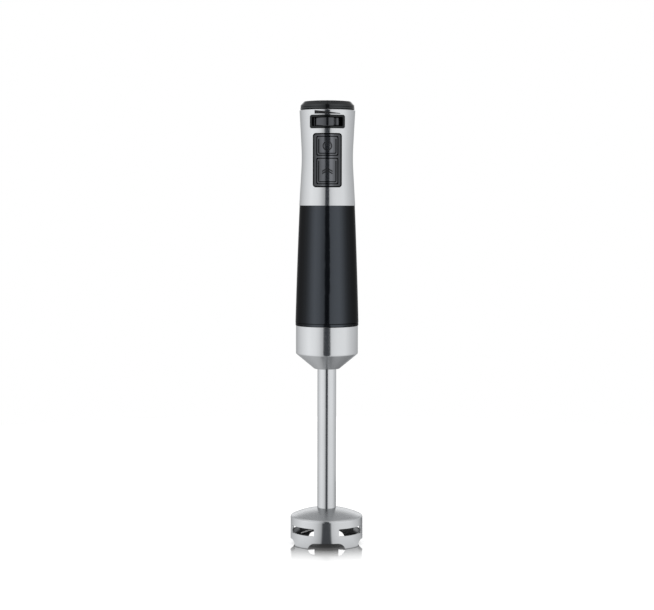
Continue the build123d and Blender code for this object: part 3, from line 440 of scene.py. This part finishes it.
def stepped(tree, value, stops):
    """Grey level that runs through stops of position and level, both from 0 to 1."""
    ramp = put(tree, "ValToRGB", {"Fac": value})
    elements = ramp.color_ramp.elements
    for position, _ in stops[1:-1]:
        elements.new(position)
    for stop, (position, level) in zip(elements, stops):
        stop.position = position
        stop.color = (level, level, level, 1)
    return ramp.outputs["Color"]


def cooled(tree, level):
    """Colour of a grey level that turns a little blue in the dark."""
    green = figure(tree, "ADD", level, COOL_GREEN)
    blue = figure(tree, "ADD", level, COOL_BLUE)
    inputs = {"Red": level, "Green": green, "Blue": blue}
    return put(tree, "CombineColor", inputs).outputs["Color"]


def blended(tree, share, first, second):
    """Mix Shader node from the first shader to the second."""
    return put(tree, "MixShader", {0: share, 1: first.outputs[0], 2: second.outputs[0]})


def turned_away(tree):
    """0 where the surface faces the view, 1 where it is seen edge on."""
    return put(tree, "LayerWeight", {"Blend": 0.5}).outputs["Facing"]


def openness(tree, reach):
    """1 on an open surface, less in grooves and gaps that are narrower than a reach in metres."""
    node = put(tree, "AmbientOcclusion", {"Distance": reach}, samples=OPENNESS_SAMPLES)
    return node.outputs["AO"]


def shaded(tree, hollow, dark, bright=1.0):
    """Painted shade: a level that falls from bright in the open to dark in a kind of hollow."""
    reach, opening = hollow
    return spread(tree, openness(tree, reach), dark, bright, *opening)


def relief(tree, height, depth):
    """Bump of a given depth in metres."""
    inputs = {"Height": height, "Strength": 1.0, "Distance": depth}
    return put(tree, "Bump", inputs).outputs["Normal"]


def surface(name, **sockets):
    """New material: its node tree, its shader and object coordinates."""
    material = bpy.data.materials.new(name)
    material.use_nodes = True
    tree = material.node_tree
    shader = tree.nodes["Principled BSDF"]
    for key, value in sockets.items():
        shader.inputs[key.replace("_", " ")].default_value = value
    place = put(tree, "TexCoord").outputs["Object"]
    return material, tree, shader, place


def feed(tree, shader, **sockets):
    """Links outputs to the shader's sockets."""
    for key, value in sockets.items():
        tree.links.new(value, shader.inputs[key.replace("_", " ")])


# Finishes. A specular level that is set on a surface stays where an export drops the linked one


def polished_steel(colour):
    """Stainless steel polished round its axis, brushed on its slopes, with painted shade that
    darkens it in its hollows.
    """
    material, tree, shader, place = surface("polished_steel", Metallic=1.0)
    normal = put(tree, "TexCoord").outputs["Normal"]
    slope = put(tree, "SeparateXYZ", {"Vector": normal}).outputs["Z"]
    above = spread(tree, slope, 0, BRUSHED_ABOVE, BRUSHED_FROM, BRUSHED_TO)
    below = spread(tree, slope, BRUSHED_BELOW, 0, -BRUSHED_TO, -BRUSHED_FROM)
    brushed = figure(tree, "ADD", above, below)
    lines = noise(tree, place, (60, 60, 3200), 3)
    cloud = noise(tree, place, (45, 45, 30), 3)
    # Painted shade: the colour darkens where the steel is closed in, such as inside the guard and
    # where the dome and the cone meet the tube; a faint cloud of tone is mixed in
    lit = shaded(tree, STEEL_HOLLOW_SHADE, 0.3)
    painted_shade_and_cloud = figure(tree, "MULTIPLY", lit, spread(tree, cloud, 0.92, 1.0))
    mixed = figure(tree, "MULTIPLY_ADD", lines, 0.6, figure(tree, "MULTIPLY", cloud, 0.4))
    feed(
        tree,
        shader,
        Base_Color=tinted(tree, painted_shade_and_cloud, colour, 0.0, 1.0),
        Roughness=figure(tree, "ADD", brushed, uneven(tree, mixed, 0.085, 0.15)),
        Normal=relief(tree, lines, 0.000004),
    )
    return material


def ground_steel(colour):
    """Harder steel with coarser grinding marks, with painted shade that darkens it where it is
    closed in.
    """
    material, tree, shader, place = surface("ground_steel", Metallic=1.0)
    # Painted shade: the colour darkens where the steel is closed in
    lit = shaded(tree, GROUND_HOLLOW_SHADE, 0.0)
    marks = noise(tree, place, (2600, 140, 900), 4, 0.6)
    cloud = noise(tree, place, (160, 160, 160), 3)
    feed(
        tree,
        shader,
        Base_Color=tinted(tree, figure(tree, "MULTIPLY", lit, cloud), colour, 0.1, 1.4),
        Roughness=uneven(tree, marks, 0.2, 0.36),
        Normal=relief(tree, marks, 0.000006),
    )
    return material


def gloss_black(colour):
    """Black lacquer on a slightly wavy wall, with a deep gloss that dies away towards the sides."""
    material, tree, shader, place = surface(
        "gloss_black", IOR=1.9, Specular_IOR_Level=0.3, Specular_Tint=LACQUER_TINT
    )
    waves = noise(tree, place, (90, 90, 40), 1)
    haze = noise(tree, place, (700, 700, 700), 3)
    feed(
        tree,
        shader,
        Base_Color=tinted(tree, haze, colour, 0.85, 1.15),
        Roughness=uneven(tree, haze, 0.09, 0.14),
        Specular_IOR_Level=stepped(tree, turned_away(tree), SLEEVE_GLOSS),
        Normal=relief(tree, waves, 0.000006),
    )
    return material


def wheel_black(colour):
    """Gloss black plastic of the speed wheel, with painted shade that takes its gloss away in its
    finger grooves.
    """
    material, tree, shader, place = surface(
        "wheel_black", IOR=2.0, Specular_IOR_Level=0.4, Specular_Tint=PLASTIC_TINT
    )
    haze = noise(tree, place, (900, 900, 500), 3)
    # Painted shade: the specular level falls in and beside the finger grooves
    shine = shaded(tree, WHEEL_GROOVE_SHADE, 0.01, 0.55)
    feed(
        tree,
        shader,
        Base_Color=tinted(tree, haze, colour, 0.8, 1.2),
        Roughness=uneven(tree, haze, 0.05, 0.09),
        Specular_IOR_Level=shine,
        Normal=relief(tree, haze, 0.000001),
    )
    return material


def satin_black(name, colour, gloss):
    """Black plastic with a soft gloss and a fine moulded grain, with painted shade that takes its
    gloss away in its joints.
    """
    material, tree, shader, place = surface(
        name, IOR=1.75, Specular_IOR_Level=gloss[1][1], Specular_Tint=SATIN_TINT
    )
    grain = noise(tree, place, (5200, 5200, 5200), 2, 0.6)
    cloud = noise(tree, place, (220, 220, 220), 3)
    # Painted shade: the specular level falls in joints, such as where the cap meets the shell
    lit = shaded(tree, SATIN_JOINT_SHADE, 0.03)
    shine = stepped(tree, turned_away(tree), gloss)
    feed(
        tree,
        shader,
        Base_Color=tinted(tree, cloud, colour, 0.85, 1.15),
        Roughness=uneven(tree, grain, 0.1, 0.16),
        Specular_IOR_Level=figure(tree, "MULTIPLY", lit, shine),
        Normal=relief(tree, grain, 0.0000015),
    )
    return material


def button_grey(colour):
    """Dark lacquer with a metallic fleck, glossy where it faces the view, with painted shade that
    takes its gloss away in its grooved lines.
    """
    material, tree, shader, place = surface(
        "button_grey", IOR=2.6, Specular_IOR_Level=0.4, Specular_Tint=PLASTIC_TINT
    )
    fleck = noise(tree, place, (9000, 9000, 9000), 1, 0.7)
    cloud = noise(tree, place, (260, 260, 260), 3)
    # Painted shade: the specular level falls in the grooves round the buttons and their frame
    lit = shaded(tree, BUTTON_LINE_SHADE, 0.02)
    shine = stepped(tree, turned_away(tree), BUTTON_GLOSS)
    feed(
        tree,
        shader,
        Base_Color=tinted(tree, fleck, colour, 0.8, 1.25),
        Roughness=uneven(tree, cloud, 0.09, 0.14),
        Specular_IOR_Level=figure(tree, "MULTIPLY", lit, shine),
        Normal=relief(tree, fleck, 0.0000005),
    )
    return material


def soft_rubber(colour):
    """Matt rubber with a dusty bloom."""
    material, tree, shader, place = surface("soft_rubber", Specular_IOR_Level=0.35)
    bloom = noise(tree, place, (1400, 1400, 1400), 4, 0.6)
    feed(
        tree,
        shader,
        Base_Color=tinted(tree, bloom, colour, 0.75, 1.4),
        Roughness=uneven(tree, bloom, 0.5, 0.72),
        Normal=relief(tree, bloom, 0.000008),
    )
    return material


def inner_plastic(colour):
    """Glass filled nylon of the inner mouldings, with streaks of flow."""
    material, tree, shader, place = surface("inner_plastic", Specular_IOR_Level=0.45)
    flow = noise(tree, place, (420, 420, 90), 4, 0.6)
    grain = noise(tree, place, (3800, 3800, 3800), 2)
    feed(
        tree,
        shader,
        Base_Color=tinted(tree, flow, colour, 0.78, 1.2),
        Roughness=uneven(tree, grain, 0.42, 0.58),
        Normal=relief(tree, grain, 0.000006),
    )
    return material


def bronze(colour):
    """Sintered bronze, pitted and dark in its pores."""
    material, tree, shader, place = surface("bronze", Metallic=1.0)
    pores = put(tree, "TexVoronoi", {"Vector": place, "Scale": 3600.0}).outputs["Distance"]
    feed(
        tree,
        shader,
        Base_Color=tinted(tree, pores, colour, 0.6, 1.1),
        Roughness=spread(tree, pores, 0.5, 0.3),
        Normal=relief(tree, pores, 0.000012),
    )
    return material


def copper_wire(colour):
    """Enamelled wire in layers, darker between the turns."""
    material, tree, shader, place = surface(
        "copper_wire", Metallic=0.85, Coat_Weight=0.6, Coat_Roughness=0.15
    )
    inputs = {"Vector": place, "Scale": 560.0, "Distortion": 1.2, "Detail": 1.0}
    turns = put(tree, "TexWave", inputs, bands_direction="DIAGONAL").outputs["Fac"]
    feed(
        tree,
        shader,
        Base_Color=tinted(tree, turns, colour, 0.35, 1.1),
        Roughness=spread(tree, turns, 0.5, 0.28),
        Normal=relief(tree, turns, 0.00012),
    )
    return material


def copper_bars(colour):
    """Bare copper with the bright track that the brushes wear into it."""
    material, tree, shader, place = surface("copper_bars", Metallic=1.0)
    track = noise(tree, place, (80, 80, 4200), 3)
    feed(
        tree,
        shader,
        Base_Color=tinted(tree, track, colour, 0.7, 1.25),
        Roughness=uneven(tree, track, 0.2, 0.42),
        Normal=relief(tree, track, 0.000006),
    )
    return material


def core_iron(colour):
    """Stack of thin stamped sheets, seen as lines round the core."""
    material, tree, shader, place = surface("core_iron", Metallic=0.9)
    inputs = {"Vector": place, "Scale": 314.0, "Distortion": 0.15}
    sheets = put(tree, "TexWave", inputs, bands_direction="Z").outputs["Fac"]
    rust = noise(tree, place, (500, 500, 700), 4, 0.6)
    feed(
        tree,
        shader,
        Base_Color=tinted(tree, figure(tree, "MULTIPLY", sheets, rust), colour, 0.5, 1.6),
        Roughness=uneven(tree, rust, 0.34, 0.55),
        Normal=relief(tree, sheets, 0.00006),
    )
    return material


def carbon(colour):
    """Pressed carbon with a dull sheen and a fine grit."""
    material, tree, shader, place = surface("carbon", Metallic=0.2)
    grit = noise(tree, place, (4200, 4200, 4200), 3, 0.7)
    feed(
        tree,
        shader,
        Base_Color=tinted(tree, grit, colour, 0.6, 1.9),
        Roughness=uneven(tree, grit, 0.45, 0.65),
        Normal=relief(tree, grit, 0.00001),
    )
    return material


def circuit_board(colour):
    """Green solder mask with the tracks raised below it."""
    material, tree, shader, place = surface("circuit_board", Coat_Weight=0.4, Coat_Roughness=0.1)
    upright = {"Vector": place, "Rotation": (math.pi / 2, 0, 0)}
    flat = put(tree, "Mapping", upright).outputs["Vector"]
    inputs = {"Vector": flat, "Scale": 260.0, "Mortar Size": 0.03, "Bias": -0.2}
    tracks = put(tree, "TexBrick", inputs, offset=0.4).outputs["Fac"]
    mask = noise(tree, place, (900, 900, 900), 2)
    feed(
        tree,
        shader,
        Base_Color=tinted(tree, tracks, colour, 0.8, 1.7),
        Roughness=uneven(tree, mask, 0.26, 0.4),
        Normal=relief(tree, tracks, 0.00004),
    )
    return material


def aluminium(colour):
    """Extruded aluminium with drawing lines along the fins."""
    material, tree, shader, place = surface("aluminium", Metallic=1.0)
    lines = noise(tree, place, (3000, 3000, 60), 3)
    feed(
        tree,
        shader,
        Base_Color=tinted(tree, lines, colour, 0.85, 1.05),
        Roughness=uneven(tree, lines, 0.25, 0.4),
        Normal=relief(tree, lines, 0.000006),
    )
    return material


def ink(colour):
    """Screen print with a slightly uneven film."""
    material, tree, shader, place = surface("ink", Specular_IOR_Level=0.4)
    film = noise(tree, place, (2400, 2400, 2400), 3)
    feed(
        tree,
        shader,
        Base_Color=tinted(tree, film, colour, 0.8, 1.4),
        Roughness=uneven(tree, film, 0.35, 0.5),
        Normal=relief(tree, film, 0.000002),
    )
    return material


def dress(names, material):
    """Gives CAD pieces a material."""
    for name in names:
        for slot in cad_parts[name].material_slots:
            slot.material = material


# Marks


def strip(width, height, columns, rows=1):
    """Flat strip across X and Z, round the origin."""
    bm = bmesh.new()
    bmesh.ops.create_grid(bm, x_segments=columns, y_segments=rows, size=0.5)
    bmesh.ops.scale(bm, vec=(width, height, 1), verts=bm.verts)
    bmesh.ops.rotate(bm, matrix=Matrix.Rotation(math.pi / 2, 3, "X"), verts=bm.verts)
    return bm


def lay(bm, node, film):
    """Lays a flat mesh on the front of a CAD piece, half of its thickness below that front."""
    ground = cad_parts[node]
    for vert in bm.verts:
        start = Vector((vert.co.x, RAY_START, vert.co.z))
        found, place, normal, _ = ground.ray_cast(start, Vector((0, 1, 0)))
        if not found:
            raise RuntimeError(f"a mark runs off {node}")
        vert.co = place + film * normal
    back = bmesh.ops.extrude_face_region(bm, geom=bm.faces[:])["geom"]
    moved = [part for part in back if isinstance(part, bmesh.types.BMVert)]
    bmesh.ops.translate(bm, vec=(0, 2 * film, 0), verts=moved)
    bmesh.ops.recalc_face_normals(bm, faces=bm.faces)


def keep(bm, name, body, material):
    """Makes a finished mesh a piece of the blender that rides on a body."""
    mesh = bpy.data.meshes.new(name)
    bm.to_mesh(mesh)
    bm.free()
    mesh.materials.append(material)
    piece = bpy.data.objects.new(name, mesh)
    bpy.context.scene.collection.objects.link(piece)
    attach(piece, body)
    return piece


def made_once(name, maker, colour):
    """Material of that name, made where it is first asked for."""
    return bpy.data.materials.get(name) or maker(colour)


# Operators


class HANDBLENDER_OT_steel(bpy.types.Operator):
    """Finish the steel, bronze and aluminium pieces"""

    bl_idname = "handblender.steel"
    bl_label = "Finish metal"

    def execute(self, context):
        finish = context.scene.handblender_finish
        dress(POLISHED_STEEL, polished_steel(finish.steel))
        dress(GROUND_STEEL, ground_steel(finish.ground))
        dress(BRONZE, bronze(finish.bronze))
        dress(ALUMINIUM, aluminium(finish.aluminium))
        return {"FINISHED"}


class HANDBLENDER_OT_plastic(bpy.types.Operator):
    """Finish the sleeve, cap, frames, buttons, wheel and rubber pieces"""

    bl_idname = "handblender.plastic"
    bl_label = "Finish plastic and rubber"

    def execute(self, context):
        finish = context.scene.handblender_finish
        dress(GLOSS_BLACK, gloss_black(finish.sleeve))
        dress(WHEEL_BLACK, wheel_black(finish.wheel))
        dress(CAP_BLACK, satin_black("cap_black", finish.cap, CAP_GLOSS))
        dress(FRAME_BLACK, satin_black("frame_black", finish.cap, FRAME_GLOSS))
        dress(BUTTON_GREY, button_grey(finish.button))
        dress(SOFT_RUBBER, soft_rubber(finish.rubber))
        dress(INNER_PLASTIC, inner_plastic(finish.inner))
        return {"FINISHED"}


class HANDBLENDER_OT_motor(bpy.types.Operator):
    """Finish the windings, cores, brushes and circuit board"""

    bl_idname = "handblender.motor"
    bl_label = "Finish motor and electronics"

    def execute(self, context):
        finish = context.scene.handblender_finish
        dress(COPPER_WIRE, copper_wire(finish.copper))
        dress(COPPER_BARS, copper_bars(finish.copper))
        dress(CORE_IRON, core_iron(finish.iron))
        dress(CARBON, carbon(finish.carbon))
        dress(CIRCUIT_BOARD, circuit_board(finish.board))
        return {"FINISHED"}


class HANDBLENDER_OT_button_springs(bpy.types.Operator):
    """Fit smooth copies of the button springs in place of their CAD pieces"""

    bl_idname = "handblender.button_springs"
    bl_label = "Fit button springs"

    def execute(self, context):
        steel = made_once("ground_steel", ground_steel, context.scene.handblender_finish.ground)
        self.fit("power_spring", "power_press", steel)
        self.fit("boost_spring", "boost_press", steel)
        return {"FINISHED"}

    def fit(self, node, joint, steel):
        """Smooth-shaded copy of a spring's mesh, which rides on the motor unit in place of its CAD
        piece.
        """
        bm = bmesh.new()
        bm.from_mesh(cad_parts[node].data)
        bmesh.ops.remove_doubles(bm, verts=bm.verts, dist=MESH_WELD)
        for face in bm.faces:
            face.smooth = True
        piece = keep(bm, node + "_coil", "motor_unit", steel)
        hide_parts(node)
        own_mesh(piece)


class HANDBLENDER_OT_speed_mark(bpy.types.Operator):
    """Print the speed ramp above the wheel"""

    bl_idname = "handblender.speed_mark"
    bl_label = "Print speed ramp"

    def execute(self, context):
        marks = context.scene.handblender_marks
        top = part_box("steel_shell")[1].z
        bm = strip(marks.ramp_length, marks.ramp_tall, RAMP_COLUMNS)
        for vert in bm.verts:
            share = 0.5 - vert.co.x / marks.ramp_length
            tall = marks.ramp_slim + (marks.ramp_tall - marks.ramp_slim) * share
            vert.co.z = (vert.co.z / marks.ramp_tall + 0.5) * tall - marks.ramp_tall / 2
        bmesh.ops.translate(bm, vec=(0, 0, top - marks.ramp_drop), verts=bm.verts)
        lay(bm, "steel_shell", marks.film)
        black = made_once("ink", ink, context.scene.handblender_finish.ink)
        keep(bm, "speed_ramp", "motor_unit", black)
        return {"FINISHED"}


class HANDBLENDER_OT_button_marks(bpy.types.Operator):
    """Press the ring and bar and the chevrons into the buttons"""

    bl_idname = "handblender.button_marks"
    bl_label = "Mark buttons"

    def execute(self, context):
        marks = context.scene.handblender_marks
        black = made_once("ink", ink, context.scene.handblender_finish.ink)
        self.ring(marks, black)
        self.bar(marks, black)
        self.chevrons(marks, black)
        return {"FINISHED"}

    def middle(self, node):
        """Height of the middle of a piece, on the axis."""
        low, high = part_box(node)
        return Vector((0, 0, (low.z + high.z) / 2))

    def ring(self, marks, black):
        """Open ring of the sign for switching on."""
        bm = bmesh.new()
        outer = marks.ring_diameter / 2
        rim = [bm.verts.new((0, 0, radius)) for radius in (outer - marks.line, outer)]
        bm.edges.new(rim)
        start = Matrix.Rotation(math.radians(RING_OPENING), 3, "Y")
        bmesh.ops.rotate(bm, matrix=start, verts=bm.verts)
        bmesh.ops.spin(
            bm,
            geom=bm.verts[:] + bm.edges[:],
            axis=(0, 1, 0),
            angle=math.radians(360 - 2 * RING_OPENING),
            steps=RING_STEPS,
        )
        bmesh.ops.translate(bm, vec=self.middle("power_button"), verts=bm.verts)
        lay(bm, "power_button", marks.film)
        keep(bm, "power_ring", "upper_button", black)

    def bar(self, marks, black):
        """Bar in the opening of the ring."""
        bm = strip(marks.line, marks.ring_diameter / 2, *BAR_GRID)
        bmesh.ops.translate(bm, vec=(0, 0, marks.ring_diameter * BAR_RISE), verts=bm.verts)
        bmesh.ops.translate(bm, vec=self.middle("power_button"), verts=bm.verts)
        lay(bm, "power_button", marks.film)
        keep(bm, "power_bar", "upper_button", black)

    def chevrons(self, marks, black):
        """Two chevrons that point up."""
        middle = self.middle("boost_button") + Vector((0, 0, marks.chevron * CHEVRON_RISE))
        step = Vector((0, 0, marks.line * CHEVRON_STEP))
        for name, place in (
            ("boost_chevron_low", middle - step),
            ("boost_chevron_high", middle + step),
        ):
            bm = strip(marks.chevron / 2, marks.line * CHEVRON_LINE, CHEVRON_COLUMNS)
            bmesh.ops.translate(bm, vec=(marks.chevron / 4, 0, 0), verts=bm.verts)
            for vert in bm.verts:
                vert.co.z -= CHEVRON_SLOPE * vert.co.x
            half = bm.verts[:] + bm.edges[:] + bm.faces[:]
            bmesh.ops.mirror(bm, geom=half, axis="X", merge_dist=MARK_WELD)
            bmesh.ops.recalc_face_normals(bm, faces=bm.faces)
            bmesh.ops.translate(bm, vec=place, verts=bm.verts)
            lay(bm, "boost_button", marks.film)
            keep(bm, name, "lower_button", black)


class HANDBLENDER_OT_stage(bpy.types.Operator):
    """Set the floor, the soft light round the blender and the camera"""

    bl_idname = "handblender.stage"
    bl_label = "Set stage"

    def execute(self, context):
        stage = context.scene.handblender_stage
        context.scene.view_settings.view_transform = "Standard"
        self.studio(context.scene, stage)
        self.floor(context.scene, stage)
        self.lamps(context.scene)
        self.camera(context.scene, stage)
        return {"FINISHED"}

    def sweep(self, tree, direction, gap, dark, edge, shares=EVERYWHERE, least=0.0):
        """Brightness of the studio in a direction: soft boxes, with a dark gap at the camera."""
        parts = put(tree, "SeparateXYZ", {"Vector": direction}).outputs
        angle = figure(tree, "ARCTAN2", parts["X"], figure(tree, "MULTIPLY", parts["Y"], -1.0))
        turn = spread(tree, angle, 0, 1, -math.pi, math.pi)
        boxes = stepped(tree, turn, [(0.5 + degrees / 360, level) for degrees, level in SWEEP])
        kept = figure(tree, "MAXIMUM", stepped(tree, turn, shares), least)
        bright = figure(tree, "MULTIPLY", boxes, kept)
        past = figure(tree, "SUBTRACT", figure(tree, "ABSOLUTE", angle), gap)
        beside = spread(tree, past, 0, 1, -edge, edge)
        return figure(tree, "MULTIPLY_ADD", figure(tree, "SUBTRACT", bright, dark), beside, dark)

    def echoed(self, tree, ray, stage, direct):
        """1 in a direct reflection, whose depth is given, and the echo's level in a second one."""
        return spread(tree, ray["Ray Depth"], 1, stage.echo, direct, direct + 1)

    def studio(self, scene, stage):
        """World that is white to the camera, even to matt surfaces and a studio to glossy ones."""
        world = bpy.data.worlds.new("studio")
        scene.world = world
        world.use_nodes = True
        tree = world.node_tree
        tree.nodes.clear()
        ray = put(tree, "LightPath").outputs
        direction = put(tree, "TexCoord").outputs["Generated"]
        parts = put(tree, "SeparateXYZ", {"Vector": direction}).outputs
        height, depth = parts["Z"], parts["Y"]
        gap = spread(tree, height, stage.gap_low, stage.gap, *GAP_NARROWS)
        dimmed = stepped(tree, spread(tree, height, 0, 1, *GAP_HEIGHTS), GAP)
        dark = figure(tree, "MULTIPLY", dimmed, stage.gap_level)
        sweep = self.sweep(tree, direction, gap, dark, stage.gap_edge)
        raised = spread(tree, height, 0, 1, *BACK_RISES)
        back = figure(tree, "MULTIPLY", spread(tree, depth, 0, BACK_LEVEL, *BACK_BEGINS), raised)
        apart = figure(tree, "ABSOLUTE", figure(tree, "SUBTRACT", height, PATCH_HEIGHT))
        band = spread(tree, apart, 1, 0, *PATCH_ENDS)
        patch = figure(tree, "MULTIPLY", band, spread(tree, depth, 0, 1, *PATCH_BEGINS))
        level = figure(tree, "MAXIMUM", sweep, figure(tree, "MAXIMUM", back, patch))
        echo = self.echoed(tree, ray, stage, DEPTH_IN_WORLD)
        share = figure(tree, "MULTIPLY", stepped(tree, height, RISE), echo)
        even = put(tree, "Background", {"Color": WHITE, "Strength": stage.fill})
        boxes = put(tree, "Background", {"Color": cooled(tree, level), "Strength": share})
        white = put(tree, "Background", {"Color": WHITE})
        lit = blended(tree, ray["Is Glossy Ray"], even, boxes)
        seen = figure(tree, "MAXIMUM", ray["Is Camera Ray"], ray["Is Transmission Ray"])
        mixed = blended(tree, seen, lit, white)
        put(tree, "OutputWorld", {"Surface": mixed.outputs[0]})

    def floor(self, scene, stage):
        """Round floor just below the blender's feet."""
        bm = bmesh.new()
        bmesh.ops.create_circle(bm, cap_ends=True, segments=FLOOR_SEGMENTS, radius=stage.floor)
        bmesh.ops.translate(bm, vec=(0, 0, -FLOOR_DROP), verts=bm.verts)
        mesh = bpy.data.meshes.new("floor")
        bm.to_mesh(mesh)
        bm.free()
        floor = bpy.data.objects.new("floor", mesh)
        scene.collection.objects.link(floor)
        mesh.materials.append(self.white_floor(stage))

    def white_floor(self, stage):
        """White floor that mirrors the blender, and is a part of the studio to glossy surfaces,
        with painted shade below the guard.
        """
        material, tree, shader, place = surface(
            "white_floor", Specular_IOR_Level=0.0, Roughness=0.6, Emission_Color=FLOOR_GLOW
        )
        material.cycles.emission_sampling = "NONE"
        ray = put(tree, "LightPath").outputs
        dust = noise(tree, place, (40, 40, 40), 3)
        reach = put(tree, "VectorMath", {0: place}, operation="LENGTH").outputs["Value"]
        share = figure(tree, "DIVIDE", reach, REACH)
        # Painted shade: the floor's own colour turns dark below the guard's rim
        outside = spread(tree, reach, 0, 1, *GUARD_RIM)
        painted_shade_and_dust = figure(tree, "MULTIPLY", outside, spread(tree, dust, 0.95, 1))
        # Painted shade: the glow to the camera is dim below the guard, darkest at the axis
        glow = stepped(tree, share, BELOW)
        feed(
            tree,
            shader,
            Base_Color=tinted(tree, painted_shade_and_dust, FLOOR_GREY, 0.1, 1),
            Emission_Strength=figure(tree, "MULTIPLY", ray["Is Camera Ray"], glow),
        )
        inputs = {"Color": WHITE, "Roughness": spread(tree, dust, 0.03, 0.06)}
        mirror = put(tree, "BsdfGlossy", inputs)
        depth = put(tree, "SeparateXYZ", {"Vector": place}).outputs["Y"]
        ahead = spread(tree, depth, 1, 0, *MIRROR_ENDS)
        front = figure(tree, "MULTIPLY", ray["Is Camera Ray"], ahead)
        mirrored = figure(tree, "MULTIPLY", front, stepped(tree, share, MIRROR))
        seen = blended(tree, mirrored, shader, mirror)
        far = spread(tree, reach, 0, 1, *BEHIND_ENDS)
        dark = FLOOR_GAP * stage.gap_level
        edge = FLOOR_EDGE * stage.gap_edge
        level = self.sweep(tree, place, stage.gap_floor, dark, edge, BEHIND, far)
        echo = self.echoed(tree, ray, stage, DEPTH_ON_FLOOR)
        # Painted shade: the floor that glossy surfaces see is dark below the guard and dimmer round
        # it, so the guard's inside reflects dark
        clear = figure(tree, "MULTIPLY", stepped(tree, share, CLEARING), echo)
        boxes = put(tree, "Emission", {"Color": cooled(tree, level), "Strength": clear})
        mixed = blended(tree, ray["Is Glossy Ray"], seen, boxes)
        tree.links.new(mixed.outputs[0], tree.nodes["Material Output"].inputs["Surface"])
        return material

    def lamps(self, scene):
        """Soft lamps on the left, on the right and above."""
        for name, place, side, power in LAMPS:
            lamp = bpy.data.lights.new(name, "AREA")
            lamp.shape = "SQUARE"
            lamp.size = side
            lamp.energy = power
            light = bpy.data.objects.new(name, lamp)
            light.location = place
            aim = Vector(LAMP_AIM) - light.location
            light.rotation_euler = aim.to_track_quat("-Z", "Y").to_euler()
            light.visible_glossy = False
            scene.collection.objects.link(light)

    def camera(self, scene, stage):
        """Camera in front of the buttons, a little above the middle."""
        data = bpy.data.cameras.new("camera")
        data.sensor_width = SENSOR_WIDTH
        data.lens = stage.lens
        data.clip_start = CLIP_START
        camera = bpy.data.objects.new("camera", data)
        camera.location = (0, -stage.distance, stage.height)
        tilt = Matrix.Rotation(math.pi / 2 - stage.tilt, 4, "X")
        roll = Matrix.Rotation(stage.roll, 4, "Z")
        camera.rotation_euler = (tilt @ roll).to_euler()
        scene.collection.objects.link(camera)
        scene.camera = camera


class HANDBLENDER_PT_looks(bpy.types.Panel):
    """Finishes, marks and stage of the immersion blender"""

    bl_label = "Immersion blender"
    bl_idname = "HANDBLENDER_PT_looks"
    bl_space_type = "VIEW_3D"
    bl_region_type = "UI"
    bl_category = "Hand blender"

    def draw(self, context):
        scene = context.scene
        for holder in GROUPS:
            group = getattr(scene, holder)
            box = self.layout.box()
            for name in group.__annotations__:
                box.prop(group, name)
        for step in STEPS:
            self.layout.operator(step.bl_idname)


STEPS = (
    HANDBLENDER_OT_steel,
    HANDBLENDER_OT_plastic,
    HANDBLENDER_OT_motor,
    HANDBLENDER_OT_button_springs,
    HANDBLENDER_OT_speed_mark,
    HANDBLENDER_OT_button_marks,
    HANDBLENDER_OT_stage,
)
GROUPS = {
    "handblender_finish": HANDBLENDER_PG_finish,
    "handblender_marks": HANDBLENDER_PG_marks,
    "handblender_stage": HANDBLENDER_PG_stage,
}
CLASSES = (*GROUPS.values(), *STEPS, HANDBLENDER_PT_looks)


def register():
    for part in CLASSES:
        bpy.utils.register_class(part)
    for name, group in GROUPS.items():
        setattr(bpy.types.Scene, name, bpy.props.PointerProperty(type=group))


def unregister():
    for name in GROUPS:
        delattr(bpy.types.Scene, name)
    for part in reversed(CLASSES):
        bpy.utils.unregister_class(part)


def main():
    """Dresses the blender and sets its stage."""
    register()
    for name in ("Cube", "Light", "Camera"):
        if name in bpy.data.objects:
            bpy.data.objects.remove(bpy.data.objects[name])
    bpy.ops.handblender.steel()
    bpy.ops.handblender.plastic()
    bpy.ops.handblender.motor()
    bpy.ops.handblender.button_springs()
    bpy.ops.handblender.speed_mark()
    bpy.ops.handblender.button_marks()
    bpy.ops.handblender.stage()


if __name__ == "__main__":
    main()
